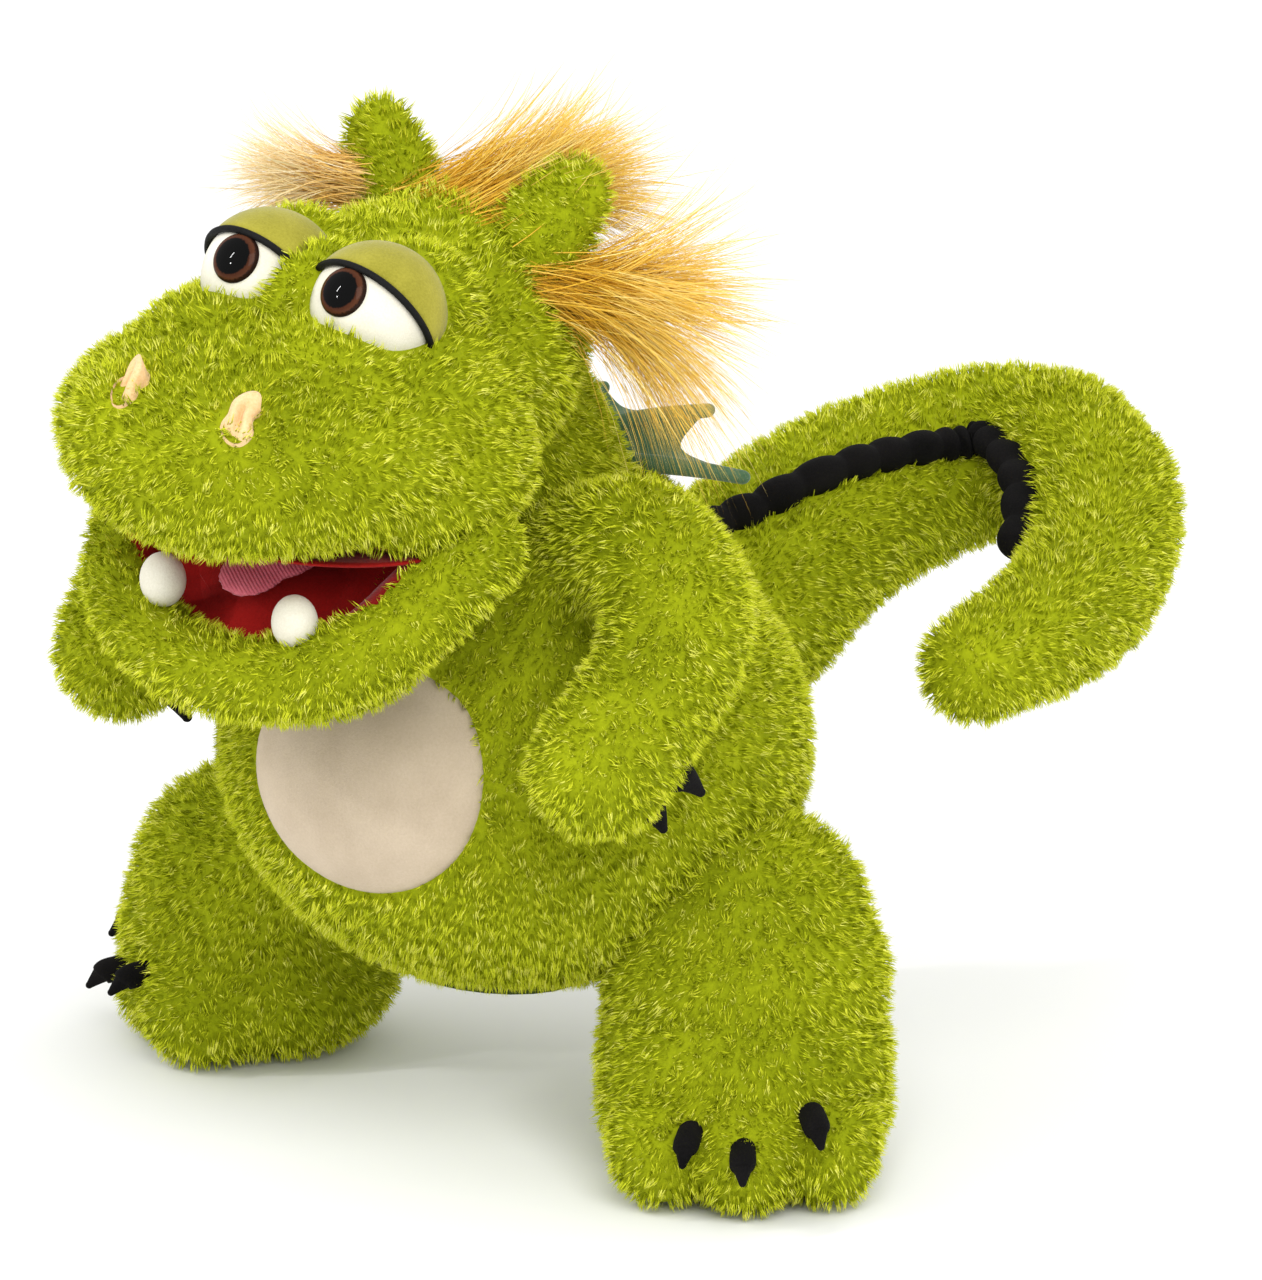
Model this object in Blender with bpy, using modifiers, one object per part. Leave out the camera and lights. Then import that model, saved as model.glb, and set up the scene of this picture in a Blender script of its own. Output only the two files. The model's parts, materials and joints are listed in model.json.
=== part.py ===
"""Shaggy dragon hand puppet with a moving mouth, as a bench assembly of its covers,
fillings, boards, pockets and trims.

The puppet faces -Y, its left side is +X and +Z is up. Its feet stand on z = 0.
Everything hangs from one empty, so the assembly's origin is the middle of its box at
the floor. Every moving body hangs from an empty on its own joint axis.
"""
import math

import bmesh
import bpy
from mathutils import Matrix, Vector

# ---- driving sizes, in metres ------------------------------------------------------
BOX_CENTRE = (-0.0127, 0.0622)       # middle of the puppet's box, from the point between its feet
CLOTH = 0.0018                       # plush backing with its seam allowance
GAP = 0.0004                         # space that touching pieces keep
INSET = 0.0038                       # a filling's surface inside its cover's
CLEAR = 0.0020                       # space round a piece that turns
END_GROWTH = 1.3                     # a form's ends grow a little more than its sides

NECK_BALL = Vector((0.0, 0.0, 0.303))
NECK_RADIUS = 0.050
HEAD_ROLL = math.radians(3.0)        # the head leans a little to the puppet's left
HAND_HALF_WIDTH = 0.042              # room for an adult hand
HAND_HALF_DEPTH = 0.032
NECK_HALF_WIDTH = 0.037
NECK_HALF_DEPTH = 0.030

TORSO_RINGS = [                      # z, middle y, half width, half depth
    (0.070, 0.026, 0.034, 0.034), (0.076, 0.026, 0.064, 0.064), (0.090, 0.026, 0.088, 0.090),
    (0.113, 0.026, 0.107, 0.109), (0.142, 0.026, 0.118, 0.119), (0.172, 0.026, 0.121, 0.121),
    (0.200, 0.026, 0.116, 0.114), (0.228, 0.024, 0.105, 0.098), (0.252, 0.020, 0.092, 0.083),
    (0.270, 0.015, 0.081, 0.073), (0.280, 0.010, 0.070, 0.064), (0.284, 0.009, 0.054, 0.050),
]
HEAD_RINGS = [                       # y, middle z, half width, half height
    (-0.222, 0.337, 0.026, 0.014), (-0.216, 0.338, 0.048, 0.025), (-0.200, 0.339, 0.070, 0.036),
    (-0.176, 0.340, 0.085, 0.043), (-0.148, 0.342, 0.091, 0.047), (-0.118, 0.346, 0.089, 0.051),
    (-0.088, 0.350, 0.081, 0.055), (-0.058, 0.354, 0.071, 0.058), (-0.028, 0.356, 0.064, 0.058),
    (0.002, 0.357, 0.055, 0.052), (0.024, 0.357, 0.041, 0.040), (0.034, 0.357, 0.024, 0.023),
]
PALATE_Z = 0.3105                    # underside of the head's cover and filling
BOARD = 0.0020                       # thickness of the two mouth boards
LINING = 0.0012
MOUTH_HINGE = Vector((0.0, -0.083, 0.300))
MOUTH_REST = math.radians(33.0)      # how far the mouth stands open at rest
BOARD_HALF_WIDTH = 0.052
BOARD_LENGTH = 0.068
LIP_RADIUS = 0.0090

EYE_RADIUS = 0.0245
EYE_CENTRE = Vector((0.0320, -0.1040, 0.3990))
EYE_LOOK = Vector((0.10, -0.925, 0.365)).normalized()
IRIS_RADIUS = 0.0105
LID_THICKNESS = 0.0016

FOOT_TURN = {1.0: math.radians(40.0), -1.0: math.radians(46.0)}      # toes turned out
FOOT_CENTRE = {1.0: Vector((0.117, 0.036, 0.0)), -1.0: Vector((-0.139, 0.046, 0.0))}
LEG_RINGS = [                        # z, shift back along the foot, half length, half width
    (0.000, 0.000, 0.064, 0.048), (0.005, 0.000, 0.074, 0.057), (0.014, 0.001, 0.078, 0.060),
    (0.032, 0.004, 0.075, 0.060), (0.054, 0.011, 0.066, 0.057), (0.078, 0.020, 0.055, 0.053),
    (0.100, 0.027, 0.045, 0.047), (0.122, 0.032, 0.036, 0.039), (0.138, 0.035, 0.024, 0.027),
]
LEG_LEAN = 0.10                      # the leg leans in towards the hip
HIP = Vector((0.092, 0.050, 0.108))
HIP_SWEEP = (-24.0, -16.0, -8.0, 0.0, 8.0, 16.0)

SHOULDER = Vector((0.078, -0.014, 0.270))
ARM_SPINE = [(0.078, -0.014, 0.270), (0.112, -0.022, 0.276), (0.137, -0.032, 0.258),
             (0.141, -0.060, 0.232), (0.136, -0.081, 0.211)]
ARM_RADII = [0.024, 0.027, 0.028, 0.026, 0.027]
SHOULDER_SWEEP = (-40.0, -28.0, -14.0, 0.0, 8.0)

TAIL_SPINE = [(0.0, 0.168, 0.192), (0.0, 0.205, 0.208), (0.001, 0.245, 0.218), (0.010, 0.286, 0.225),
              (0.030, 0.310, 0.232), (0.062, 0.312, 0.236), (0.104, 0.288, 0.230),
              (0.138, 0.240, 0.216), (0.158, 0.185, 0.211), (0.164, 0.130, 0.208)]
TAIL_RADII = [0.043, 0.040, 0.036, 0.034, 0.033, 0.032, 0.030, 0.028, 0.025, 0.021]
TAIL_KNOTS = (3, 6)                  # spine points where the tail bends
TAIL_ROOT = Vector((0.0, 0.128, 0.180))
TAIL_ROOT_RADIUS = 0.048

WING_ROOT = Vector((0.012, 0.064, 0.292))
WING_TURN = math.radians(51.0)       # the wing points out and back
WING_TILT = math.radians(50.0)       # its inner edge stands above its outer one
WING_THICKNESS = 0.0050
WING_OUTLINE = [(0.000, -0.008), (0.030, -0.018), (0.075, -0.015), (0.061, -0.002), (0.060, 0.016),
                (0.040, 0.012), (0.016, 0.022), (0.002, 0.012)]

GREEN = (0.33, 0.38, 0.020)
MATERIALS = {                        # base colour, roughness, metallic
    "plush": (GREEN, 0.95, 0.0),
    "filling": ((0.86, 0.85, 0.80), 0.95, 0.0),
    "belly": ((0.56, 0.46, 0.34), 0.90, 0.0),
    "sleeve": ((0.05, 0.07, 0.02), 0.80, 0.0),
    "board": ((0.55, 0.40, 0.24), 0.70, 0.0),
    "lining": ((0.16, 0.004, 0.004), 0.85, 0.0),
    "tongue": ((0.46, 0.06, 0.08), 0.85, 0.0),
    "velour_white": ((0.74, 0.68, 0.48), 0.90, 0.0),
    "eye": ((0.008, 0.005, 0.004), 0.12, 0.0),
    "lid": ((0.30, 0.28, 0.03), 0.85, 0.0),
    "piping": ((0.004, 0.004, 0.004), 0.55, 0.0),
    "nostril": ((0.78, 0.48, 0.22), 0.90, 0.0),
    "hair": ((0.72, 0.46, 0.06), 0.60, 0.0),
    "claw": ((0.006, 0.006, 0.005), 0.80, 0.0),
    "wing": ((0.02, 0.08, 0.045), 0.85, 0.0),
}
SIDES = {"left": 1.0, "right": -1.0}


# ---- scene -------------------------------------------------------------------------
def clear_scene():
    for old in list(bpy.data.objects):
        bpy.data.objects.remove(old, do_unlink=True)


def new_collection(name):
    made = bpy.data.collections.new(name)
    bpy.context.scene.collection.children.link(made)
    return made


clear_scene()
PUPPET = new_collection("dragon_puppet")
CUTTERS = new_collection("cutters")


def empty(name, point, parent=None):
    """An empty at a point of the puppet's frame."""
    made = bpy.data.objects.new(name, None)
    PUPPET.objects.link(made)
    made.empty_display_size = 0.02
    made["point"] = tuple(point)
    made.parent = parent
    start = Vector(parent["point"]) if parent else Vector((0, 0, 0))
    made.location = Vector(point) - start
    return made


ROOT = empty("puppet_frame", (0, 0, 0))
ROOT.location = Vector((-BOX_CENTRE[0], -BOX_CENTRE[1], 0.0))
NECK = empty("neck_turn", NECK_BALL, ROOT)
HEAD = empty("head_nod", NECK_BALL, NECK)
HEAD.rotation_euler = (0.0, HEAD_ROLL, 0.0)
JAW = empty("mouth_hinge", MOUTH_HINGE, HEAD)
JAW.rotation_euler = (MOUTH_REST, 0.0, 0.0)


def material(name):
    made = bpy.data.materials.get(name)
    if made:
        return made
    colour, roughness, metallic = MATERIALS[name]
    made = bpy.data.materials.new(name)
    made.use_nodes = True
    shader = made.node_tree.nodes["Principled BSDF"]
    shader.inputs["Base Color"].default_value = (*colour, 1.0)
    shader.inputs["Roughness"].default_value = roughness
    shader.inputs["Metallic"].default_value = metallic
    made.diffuse_color = (*colour, 1.0)
    return made


def own_material(piece, look):
    """A material of the piece's own, with the look's colour."""
    made = material(look).copy()
    made.name = piece.name
    piece.data.materials.clear()
    piece.data.materials.append(made)


def new_object(name, mesh, parent, look=None):
    """A piece in the puppet's collection or, with no look, a cutter."""
    piece = bpy.data.objects.new(name, mesh)
    if look:
        PUPPET.objects.link(piece)
    else:
        CUTTERS.objects.link(piece)
        piece.hide_render = True
        piece.display_type = 'WIRE'
    point = Vector(parent["point"])
    mesh.transform(Matrix.Translation(-point))
    piece.parent = parent
    if look:
        own_material(piece, look)
    return piece


def jaw_object(name, mesh, look=None):
    """A piece whose mesh is written from the mouth hinge, with the mouth shut."""
    mesh.transform(Matrix.Translation(MOUTH_HINGE))
    return new_object(name, mesh, JAW, look)


def cut(piece, cutter, operation='DIFFERENCE'):
    boolean = piece.modifiers.new(operation.lower(), 'BOOLEAN')
    boolean.operation = operation
    boolean.object = cutter
    boolean.solver = 'EXACT'


def thicken(piece, thickness):
    shell = piece.modifiers.new("cloth", 'SOLIDIFY')
    shell.thickness = thickness
    shell.offset = -1.0


# ---- forms -------------------------------------------------------------------------
def ring_mesh(name, rings, count, shut_start=True, shut_end=True):
    """A loft through rings, each a (middle, side half axis, up half axis)."""
    build = bmesh.new()
    loops = []
    for middle, side, up in rings:
        loop = []
        for step in range(count):
            turn = 2.0 * math.pi * step / count
            loop.append(build.verts.new(middle + side * math.cos(turn) + up * math.sin(turn)))
        loops.append(loop)
    for first, second in zip(loops, loops[1:]):
        for step in range(count):
            after = (step + 1) % count
            build.faces.new((first[step], first[after], second[after], second[step]))
    if shut_start:
        build.faces.new(list(reversed(loops[0])))
    if shut_end:
        build.faces.new(loops[-1])
    bmesh.ops.recalc_face_normals(build, faces=build.faces)
    mesh = bpy.data.meshes.new(name)
    build.to_mesh(mesh)
    build.free()
    return mesh


def stretched(value, ends, grow):
    """A place along a form whose two ends both move out by the growth."""
    middle = (ends[0] + ends[1]) / 2
    half = (ends[1] - ends[0]) / 2
    return middle + (value - middle) * (1 + END_GROWTH * grow / half)


def torso_mesh(name, grow):
    ends = (TORSO_RINGS[0][0], TORSO_RINGS[-1][0])
    rings = []
    for z, y, half_width, half_depth in TORSO_RINGS:
        rings.append((Vector((0, y, stretched(z, ends, grow))),
                      Vector((half_width + grow, 0, 0)), Vector((0, half_depth + grow, 0))))
    return ring_mesh(name, rings, 20)


def head_mesh(name, grow):
    ends = (HEAD_RINGS[0][0], HEAD_RINGS[-1][0])
    rings = []
    for y, z, half_width, half_height in HEAD_RINGS:
        rings.append((Vector((0, stretched(y, ends, grow), z)),
                      Vector((half_width + grow, 0, 0)), Vector((0, 0, half_height + grow))))
    return ring_mesh(name, rings, 20)


def leg_mesh(name, side, grow):
    """A boot shape with a flat sole."""
    turn = side * FOOT_TURN[side]
    forward = Vector((math.sin(turn), -math.cos(turn), 0))
    across = Vector((math.cos(turn), math.sin(turn), 0))
    lifts = [-grow] + [0.0] * (len(LEG_RINGS) - 2) + [grow]
    rings = []
    for (z, back, half_length, half_width), lift in zip(LEG_RINGS, lifts):
        middle = FOOT_CENTRE[side] + Vector((-side * LEG_LEAN * z, 0, z + lift))
        rings.append((middle - forward * back, forward * (half_length + END_GROWTH * grow),
                      across * (half_width + grow)))
    return ring_mesh(name, rings, 16)


def smooth_path(points, radii, steps):
    """Catmull-Rom points and radii through the given ones."""
    places = [Vector(point) for point in points]
    ends = [places[0] * 2 - places[1]] + places + [places[-1] * 2 - places[-2]]
    path = []
    for index in range(len(places) - 1):
        before, start, stop, after = ends[index:index + 4]
        for step in range(steps):
            t = step / steps
            place = 0.5 * (2 * start + (stop - before) * t
                           + (2 * before - 5 * start + 4 * stop - after) * t ** 2
                           + (3 * start - before - 3 * stop + after) * t ** 3)
            path.append((place, radii[index] * (1 - t) + radii[index + 1] * t))
    path.append((places[-1], radii[-1]))
    return path


def stuffed_mesh(name, points, radii, grow=0.0, steps=2, count=12, flat=1.0, side_hint=None,
                 dome_steps=3):
    """A stuffed limb: a round tube along a path with a dome at each end."""
    path = smooth_path(points, radii, steps)
    tangents = []
    for index in range(len(path)):
        low = path[max(index - 1, 0)][0]
        high = path[min(index + 1, len(path) - 1)][0]
        tangents.append((high - low).normalized())
    side = Vector(side_hint) if side_hint else tangents[0].orthogonal()
    frames = []
    for (place, radius), along in zip(path, tangents):
        side = (side - along * side.dot(along)).normalized()
        frames.append((place, along, side, along.cross(side), radius + grow))
    rings = []
    start, finish = frames[0], frames[-1]
    for step in range(1, dome_steps + 1):
        tip = math.radians(90.0 * step / (dome_steps + 1))
        rings.append(dome_ring(start, -math.cos(tip), math.sin(tip), flat))
    rings += [(place, side * radius, up * radius * flat) for place, _, side, up, radius in frames]
    for step in range(dome_steps, 0, -1):
        tip = math.radians(90.0 * step / (dome_steps + 1))
        rings.append(dome_ring(finish, math.cos(tip), math.sin(tip), flat))
    return ring_mesh(name, rings, count)


def dome_ring(frame, out, size, flat):
    place, along, side, up, radius = frame
    return (place + along * radius * out, side * radius * size, up * radius * size * flat)


def ball_mesh(name, centre, radius, columns=20, rows=12, scale=(1, 1, 1), turn=None):
    build = bmesh.new()
    bmesh.ops.create_uvsphere(build, u_segments=columns, v_segments=rows, radius=radius)
    placed = Matrix.Translation(centre) @ (turn or Matrix.Identity(4)) @ Matrix.Diagonal((*scale, 1))
    bmesh.ops.transform(build, matrix=placed, verts=build.verts)
    mesh = bpy.data.meshes.new(name)
    build.to_mesh(mesh)
    build.free()
    return mesh


def cone_mesh(name, centre, direction, base, tip, depth, count=16, scale=(1, 1, 1)):
    """A cone or cylinder whose middle is at centre and whose tip end points along direction."""
    build = bmesh.new()
    bmesh.ops.create_cone(build, cap_ends=True, segments=count, radius1=base, radius2=tip,
                          depth=depth)
    turn = Vector(direction).to_track_quat('Z', 'Y').to_matrix().to_4x4()
    placed = Matrix.Translation(centre) @ turn @ Matrix.Diagonal((*scale, 1))
    bmesh.ops.transform(build, matrix=placed, verts=build.verts)
    mesh = bpy.data.meshes.new(name)
    build.to_mesh(mesh)
    build.free()
    return mesh


def box_mesh(name, low, high):
    build = bmesh.new()
    bmesh.ops.create_cube(build, size=1.0)
    size = Vector(high) - Vector(low)
    middle = (Vector(high) + Vector(low)) / 2
    placed = Matrix.Translation(middle) @ Matrix.Diagonal((*size, 1))
    bmesh.ops.transform(build, matrix=placed, verts=build.verts)
    mesh = bpy.data.meshes.new(name)
    build.to_mesh(mesh)
    build.free()
    return mesh


def tube_mesh(name, centre, half_width, half_depth, low, high, wall=None, count=24):
    """An upright oval cylinder or, with a wall, an open oval tube."""
    rings = [(Vector((centre[0], centre[1], z)), Vector((half_width, 0, 0)),
              Vector((0, half_depth, 0))) for z in (low, high)]
    return ring_mesh(name, rings, count, shut_start=wall is None, shut_end=wall is None)


def plate_mesh(name, outline, low, high):
    """A flat plate from an outline in X and Y."""
    build = bmesh.new()
    corners = [build.verts.new((x, y, low)) for x, y in outline]
    face = build.faces.new(corners)
    raised = bmesh.ops.extrude_face_region(build, geom=[face])
    moved = [item for item in raised["geom"] if isinstance(item, bmesh.types.BMVert)]
    bmesh.ops.translate(build, verts=moved, vec=(0, 0, high - low))
    bmesh.ops.recalc_face_normals(build, faces=build.faces)
    mesh = bpy.data.meshes.new(name)
    build.to_mesh(mesh)
    build.free()
    return mesh


def mouth_outline(half_width, length, back, steps=12):
    """A D shape: straight at the mouth's fold and round at the lip."""
    corner = length * 0.42
    points = [(half_width, -back)]
    for step in range(steps + 1):
        turn = math.pi * step / steps
        points.append((half_width * math.cos(turn), -corner - (length - corner) * math.sin(turn)))
    points.append((-half_width, -back))
    return points


def swept_cutters(piece, mesh_maker, point, angles):
    """Cuts the piece clear of a neighbour for every angle of its own hinge about X."""
    for number, angle in enumerate(angles):
        mesh = mesh_maker(f"{piece.name}_clearance_{number}")
        about = Matrix.Translation(point) @ Matrix.Rotation(math.radians(-angle), 4, 'X')
        mesh.transform(about @ Matrix.Translation(-Vector(point)))
        cut(piece, new_object(f"{piece.name}_clearance_{number}", mesh, ROOT))


# ---- torso -------------------------------------------------------------------------
def socket(name, grow=CLEAR):
    """The neck's ball, grown, as a cutter."""
    return new_object(name, ball_mesh(name, NECK_BALL, NECK_RADIUS + grow, 20, 12), ROOT)


def make_torso():
    root_ball = new_object("tail_socket", ball_mesh("tail_socket", TAIL_ROOT,
                                                    TAIL_ROOT_RADIUS + CLEAR, 20, 12), ROOT)
    neck_socket = socket("torso_neck_socket")
    tunnel = new_object("hand_tunnel", tube_mesh("hand_tunnel", (0, 0.010),
                        HAND_HALF_WIDTH + CLOTH + GAP, HAND_HALF_DEPTH + CLOTH + GAP,
                        0.0, 0.40), ROOT)
    cover = new_object("torso_cover", torso_mesh("torso_cover", 0.0), ROOT, "plush")
    thicken(cover, CLOTH)
    filling = new_object("torso_stuffing", torso_mesh("torso_stuffing", -INSET), ROOT,
                         "filling")
    for piece in (cover, filling):
        for cutter in (tunnel, neck_socket, root_ball):
            cut(piece, cutter)
    sleeve_low, sleeve_high = 0.0715, 0.2440
    sleeve = new_object("hand_sleeve", tube_mesh("hand_sleeve", (0, 0.010),
                        HAND_HALF_WIDTH + CLOTH, HAND_HALF_DEPTH + CLOTH,
                        sleeve_low, sleeve_high, wall=CLOTH), ROOT, "sleeve")
    thicken(sleeve, CLOTH)

    patch = new_object("belly_patch", torso_mesh("belly_patch", 2 * GAP + LINING), ROOT, "belly")
    thicken(patch, LINING)
    oval = new_object("belly_outline", cone_mesh("belly_outline", (0.0, -0.09, 0.176), (0, -1, 0),
                      0.050, 0.050, 0.12, 32, (1.0, 0.92, 1.0)), ROOT)
    cut(patch, oval, 'INTERSECT')


def make_neck():
    """A padded ball collar that the hand reaches through, and its lining."""
    collar = new_object("neck_cover", ball_mesh("neck_cover", NECK_BALL, NECK_RADIUS, 20, 12),
                        NECK, "plush")
    throat = new_object("throat_tunnel", tube_mesh("throat_tunnel", (0, 0.0),
                        NECK_HALF_WIDTH + CLOTH + GAP, NECK_HALF_DEPTH + CLOTH + GAP, 0.2, 0.4),
                        NECK)
    cut(collar, throat)
    front = new_object("throat_front", box_mesh("throat_front", (-NECK_HALF_WIDTH, -0.08, 0.300),
                                                (NECK_HALF_WIDTH, 0.0, 0.36)), NECK)
    cut(collar, front)
    reach = math.sqrt(NECK_RADIUS ** 2 - NECK_HALF_WIDTH ** 2) - 0.004
    lining = new_object("neck_sleeve", tube_mesh("neck_sleeve", (0, 0.0), NECK_HALF_WIDTH + CLOTH,
                        NECK_HALF_DEPTH + CLOTH, NECK_BALL.z - reach, 0.2990, wall=CLOTH), NECK,
                        "sleeve")
    thicken(lining, CLOTH)


# ---- head --------------------------------------------------------------------------
def eye_centre(side):
    return Vector((side * EYE_CENTRE.x, EYE_CENTRE.y, EYE_CENTRE.z))


def make_head():
    below = new_object("below_palate", box_mesh("below_palate", (-0.2, -0.3, 0.1),
                                                (0.2, 0.2, PALATE_Z)), HEAD)
    neck_socket = new_object("head_neck_socket", ball_mesh("head_neck_socket", NECK_BALL,
                             NECK_RADIUS + CLEAR, 20, 12), HEAD)
    sockets = []
    for side_name, side in SIDES.items():
        name = f"eye_socket_{side_name}"
        radius = EYE_RADIUS + LID_THICKNESS + 2 * GAP
        sockets.append(new_object(name, ball_mesh(name, eye_centre(side), radius, 18, 12), HEAD))
    pocket_room = new_object("finger_room", stuffed_mesh("finger_room", FINGER_SPINE, FINGER_RADII,
                             CLOTH + GAP, flat=FINGER_FLAT, side_hint=(1, 0, 0)), HEAD)
    cover = new_object("head_cover", head_mesh("head_cover", 0.0), HEAD, "plush")
    thicken(cover, CLOTH)
    filling = new_object("head_stuffing", head_mesh("head_stuffing", -INSET), HEAD, "filling")
    for piece in (cover, filling):
        for cutter in (below, neck_socket, *sockets):
            cut(piece, cutter)
    cut(filling, pocket_room)
    pocket = new_object("finger_pocket", stuffed_mesh("finger_pocket", FINGER_SPINE, FINGER_RADII,
                        CLOTH, flat=FINGER_FLAT, side_hint=(1, 0, 0)), HEAD, "sleeve")
    thicken(pocket, CLOTH)
    for cutter in (below, neck_socket):
        cut(pocket, cutter)

    outline = mouth_outline(BOARD_HALF_WIDTH, BOARD_LENGTH, 0.0)
    top = PALATE_Z - GAP
    for name, grow, high, thickness, look in (
            ("palate_board", 0.0, top, BOARD, "board"),
            ("palate_lining", 0.006, top - BOARD - GAP, LINING, "lining")):
        larger = [(x * (1 + grow / BOARD_HALF_WIDTH), y * (1 + grow / BOARD_LENGTH))
                  for x, y in outline]
        mesh = plate_mesh(name, larger, high - thickness, high)
        mesh.transform(Matrix.Translation((0, MOUTH_HINGE.y - 0.002, 0)))
        new_object(name, mesh, HEAD, look)


FINGER_SPINE = [(0, -0.030, 0.318), (0, -0.062, 0.322), (0, -0.100, 0.323), (0, -0.138, 0.322)]
FINGER_RADII = [0.038, 0.040, 0.038, 0.030]
FINGER_FLAT = 0.34


def make_eyes():
    for side_name, side in SIDES.items():
        centre = eye_centre(side)
        ball = new_object(f"eyeball_{side_name}", ball_mesh("eyeball", centre, EYE_RADIUS, 18, 12),
                          HEAD, "velour_white")
        seat_depth = EYE_RADIUS - math.sqrt(EYE_RADIUS ** 2 - IRIS_RADIUS ** 2)
        seat = centre + EYE_LOOK * (EYE_RADIUS - seat_depth)
        room = new_object(f"eye_seat_{side_name}", cone_mesh("eye_seat", seat + EYE_LOOK * 0.010,
                          EYE_LOOK, IRIS_RADIUS + GAP, IRIS_RADIUS + GAP, 0.020, 24), HEAD)
        cut(ball, room)
        dome_turn = EYE_LOOK.to_track_quat('Z', 'Y').to_matrix().to_4x4()
        dome = new_object(f"eye_{side_name}", ball_mesh("eye", seat + EYE_LOOK * GAP, IRIS_RADIUS,
                          14, 8, (1, 1, 0.42), dome_turn), HEAD, "eye")
        back = new_object(f"eye_back_{side_name}", cone_mesh("eye_back", seat - EYE_LOOK * 0.0096,
                          EYE_LOOK, 0.02, 0.02, 0.020, 16), HEAD)
        cut(dome, back)
        make_lid(side_name, side, centre)


LID_DIRECTION = Vector((0.25, 0.88, 0.40)).normalized()   # from the left eye's middle
LID_EDGE = -0.0030                                        # how far the edge is from the middle


def make_lid(side_name, side, centre):
    """A half dome of felt over the eyeball's top and outer side, with a corded edge."""
    direction = Vector((side * LID_DIRECTION.x, LID_DIRECTION.y, LID_DIRECTION.z))
    lid = new_object(f"eyelid_{side_name}", ball_mesh("eyelid", centre, EYE_RADIUS + GAP
                     + LID_THICKNESS, 18, 12), HEAD, "lid")
    thicken(lid, LID_THICKNESS)
    front = new_object(f"lid_front_{side_name}", cone_mesh("lid_front", centre + direction
                       * (LID_EDGE - 0.030), direction, 0.04, 0.04, 0.060, 24), HEAD)
    cut(lid, front)
    piping = torus_mesh("lid_piping", centre + direction * (LID_EDGE - 0.0016), direction,
                        EYE_RADIUS + GAP + 0.0014, 0.0011)
    cord = new_object(f"lid_piping_{side_name}", piping, HEAD, "piping")
    cut(cord, new_object(f"piping_bed_{side_name}", head_mesh("piping_bed", GAP), HEAD))


def torus_mesh(name, centre, direction, large, small):
    build = bmesh.new()
    steps, sides = 24, 5
    frame = Matrix.Translation(centre) @ Vector(direction).to_track_quat('Z', 'Y').to_matrix().to_4x4()
    rings = []
    for step in range(steps):
        turn = 2 * math.pi * step / steps
        ring = []
        for corner in range(sides):
            about = 2 * math.pi * corner / sides
            reach = large + small * math.cos(about)
            point = Vector((reach * math.cos(turn), reach * math.sin(turn), small * math.sin(about)))
            ring.append(build.verts.new(frame @ point))
        rings.append(ring)
    for step in range(steps):
        first, second = rings[step], rings[(step + 1) % steps]
        for corner in range(sides):
            after = (corner + 1) % sides
            build.faces.new((first[corner], first[after], second[after], second[corner]))
    bmesh.ops.recalc_face_normals(build, faces=build.faces)
    mesh = bpy.data.meshes.new(name)
    build.to_mesh(mesh)
    build.free()
    return mesh


NOSTRIL = Vector((0.026, -0.190, 0.366))
NOSTRIL_NORMAL = Vector((0.10, -0.62, 0.78)).normalized()


def make_head_trim():
    bed = new_object("head_bed", head_mesh("head_bed", GAP), HEAD)
    for side_name, side in SIDES.items():
        normal = Vector((side * NOSTRIL_NORMAL.x, NOSTRIL_NORMAL.y, NOSTRIL_NORMAL.z))
        place = Vector((side * NOSTRIL.x, NOSTRIL.y, NOSTRIL.z))
        patch = new_object(f"nostril_{side_name}", head_mesh("nostril", GAP + LINING), HEAD,
                           "nostril")
        thicken(patch, LINING)
        disc = new_object(f"nostril_outline_{side_name}", cone_mesh("nostril_outline", place,
                          normal, 0.0085, 0.0085, 0.030, 20, (1.0, 1.35, 1.0)), HEAD)
        cut(patch, disc, 'INTERSECT')
        ear_points = [(side * 0.036, -0.014, 0.392), (side * 0.044, -0.010, 0.415),
                      (side * 0.054, -0.004, 0.434)]
        ear = new_object(f"ear_{side_name}", stuffed_mesh("ear", ear_points, [0.023, 0.022, 0.016],
                         flat=0.55, side_hint=(1, 0, 0)), HEAD, "plush")
        tuft_points = {"left": [(0.060, -0.012, 0.376), (0.080, 0.010, 0.362), (0.098, 0.040, 0.335)],
                       "right": [(-0.060, -0.012, 0.380), (-0.090, -0.008, 0.386),
                                 (-0.118, -0.006, 0.384)]}[side_name]
        tuft = new_object(f"ear_tuft_{side_name}", stuffed_mesh("ear_tuft", tuft_points,
                          [0.011, 0.013, 0.006], count=10, dome_steps=2), HEAD, "hair")
        for piece in (ear, tuft):
            cut(piece, bed)
        cut(tuft, new_object(f"ear_bed_{side_name}", stuffed_mesh("ear_bed", ear_points,
                             [0.023, 0.022, 0.016], GAP, flat=0.55, side_hint=(1, 0, 0)), HEAD))
    mane = new_object("mane", stuffed_mesh("mane", [(0, -0.020, 0.408), (0, -0.004, 0.436),
                      (0, 0.032, 0.452)], [0.013, 0.016, 0.006], count=10, dome_steps=2), HEAD,
                      "hair")
    cut(mane, bed)


# ---- jaw, written from the mouth hinge with the mouth shut -------------------------------
BOWL_TOP = -0.0125
THUMB_SPINE = [(0, -0.004, -0.0075), (0, -0.026, -0.0080), (0, -0.048, -0.0080)]
THUMB_RADII = [0.015, 0.0145, 0.012]
THUMB_FLAT = 0.44


def bowl_mesh(name, grow):
    return ball_mesh(name, (0, -0.032, BOWL_TOP), 1.0, 18, 12,
                     (0.066 + grow, 0.056 + grow, 0.027 + grow))


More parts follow.
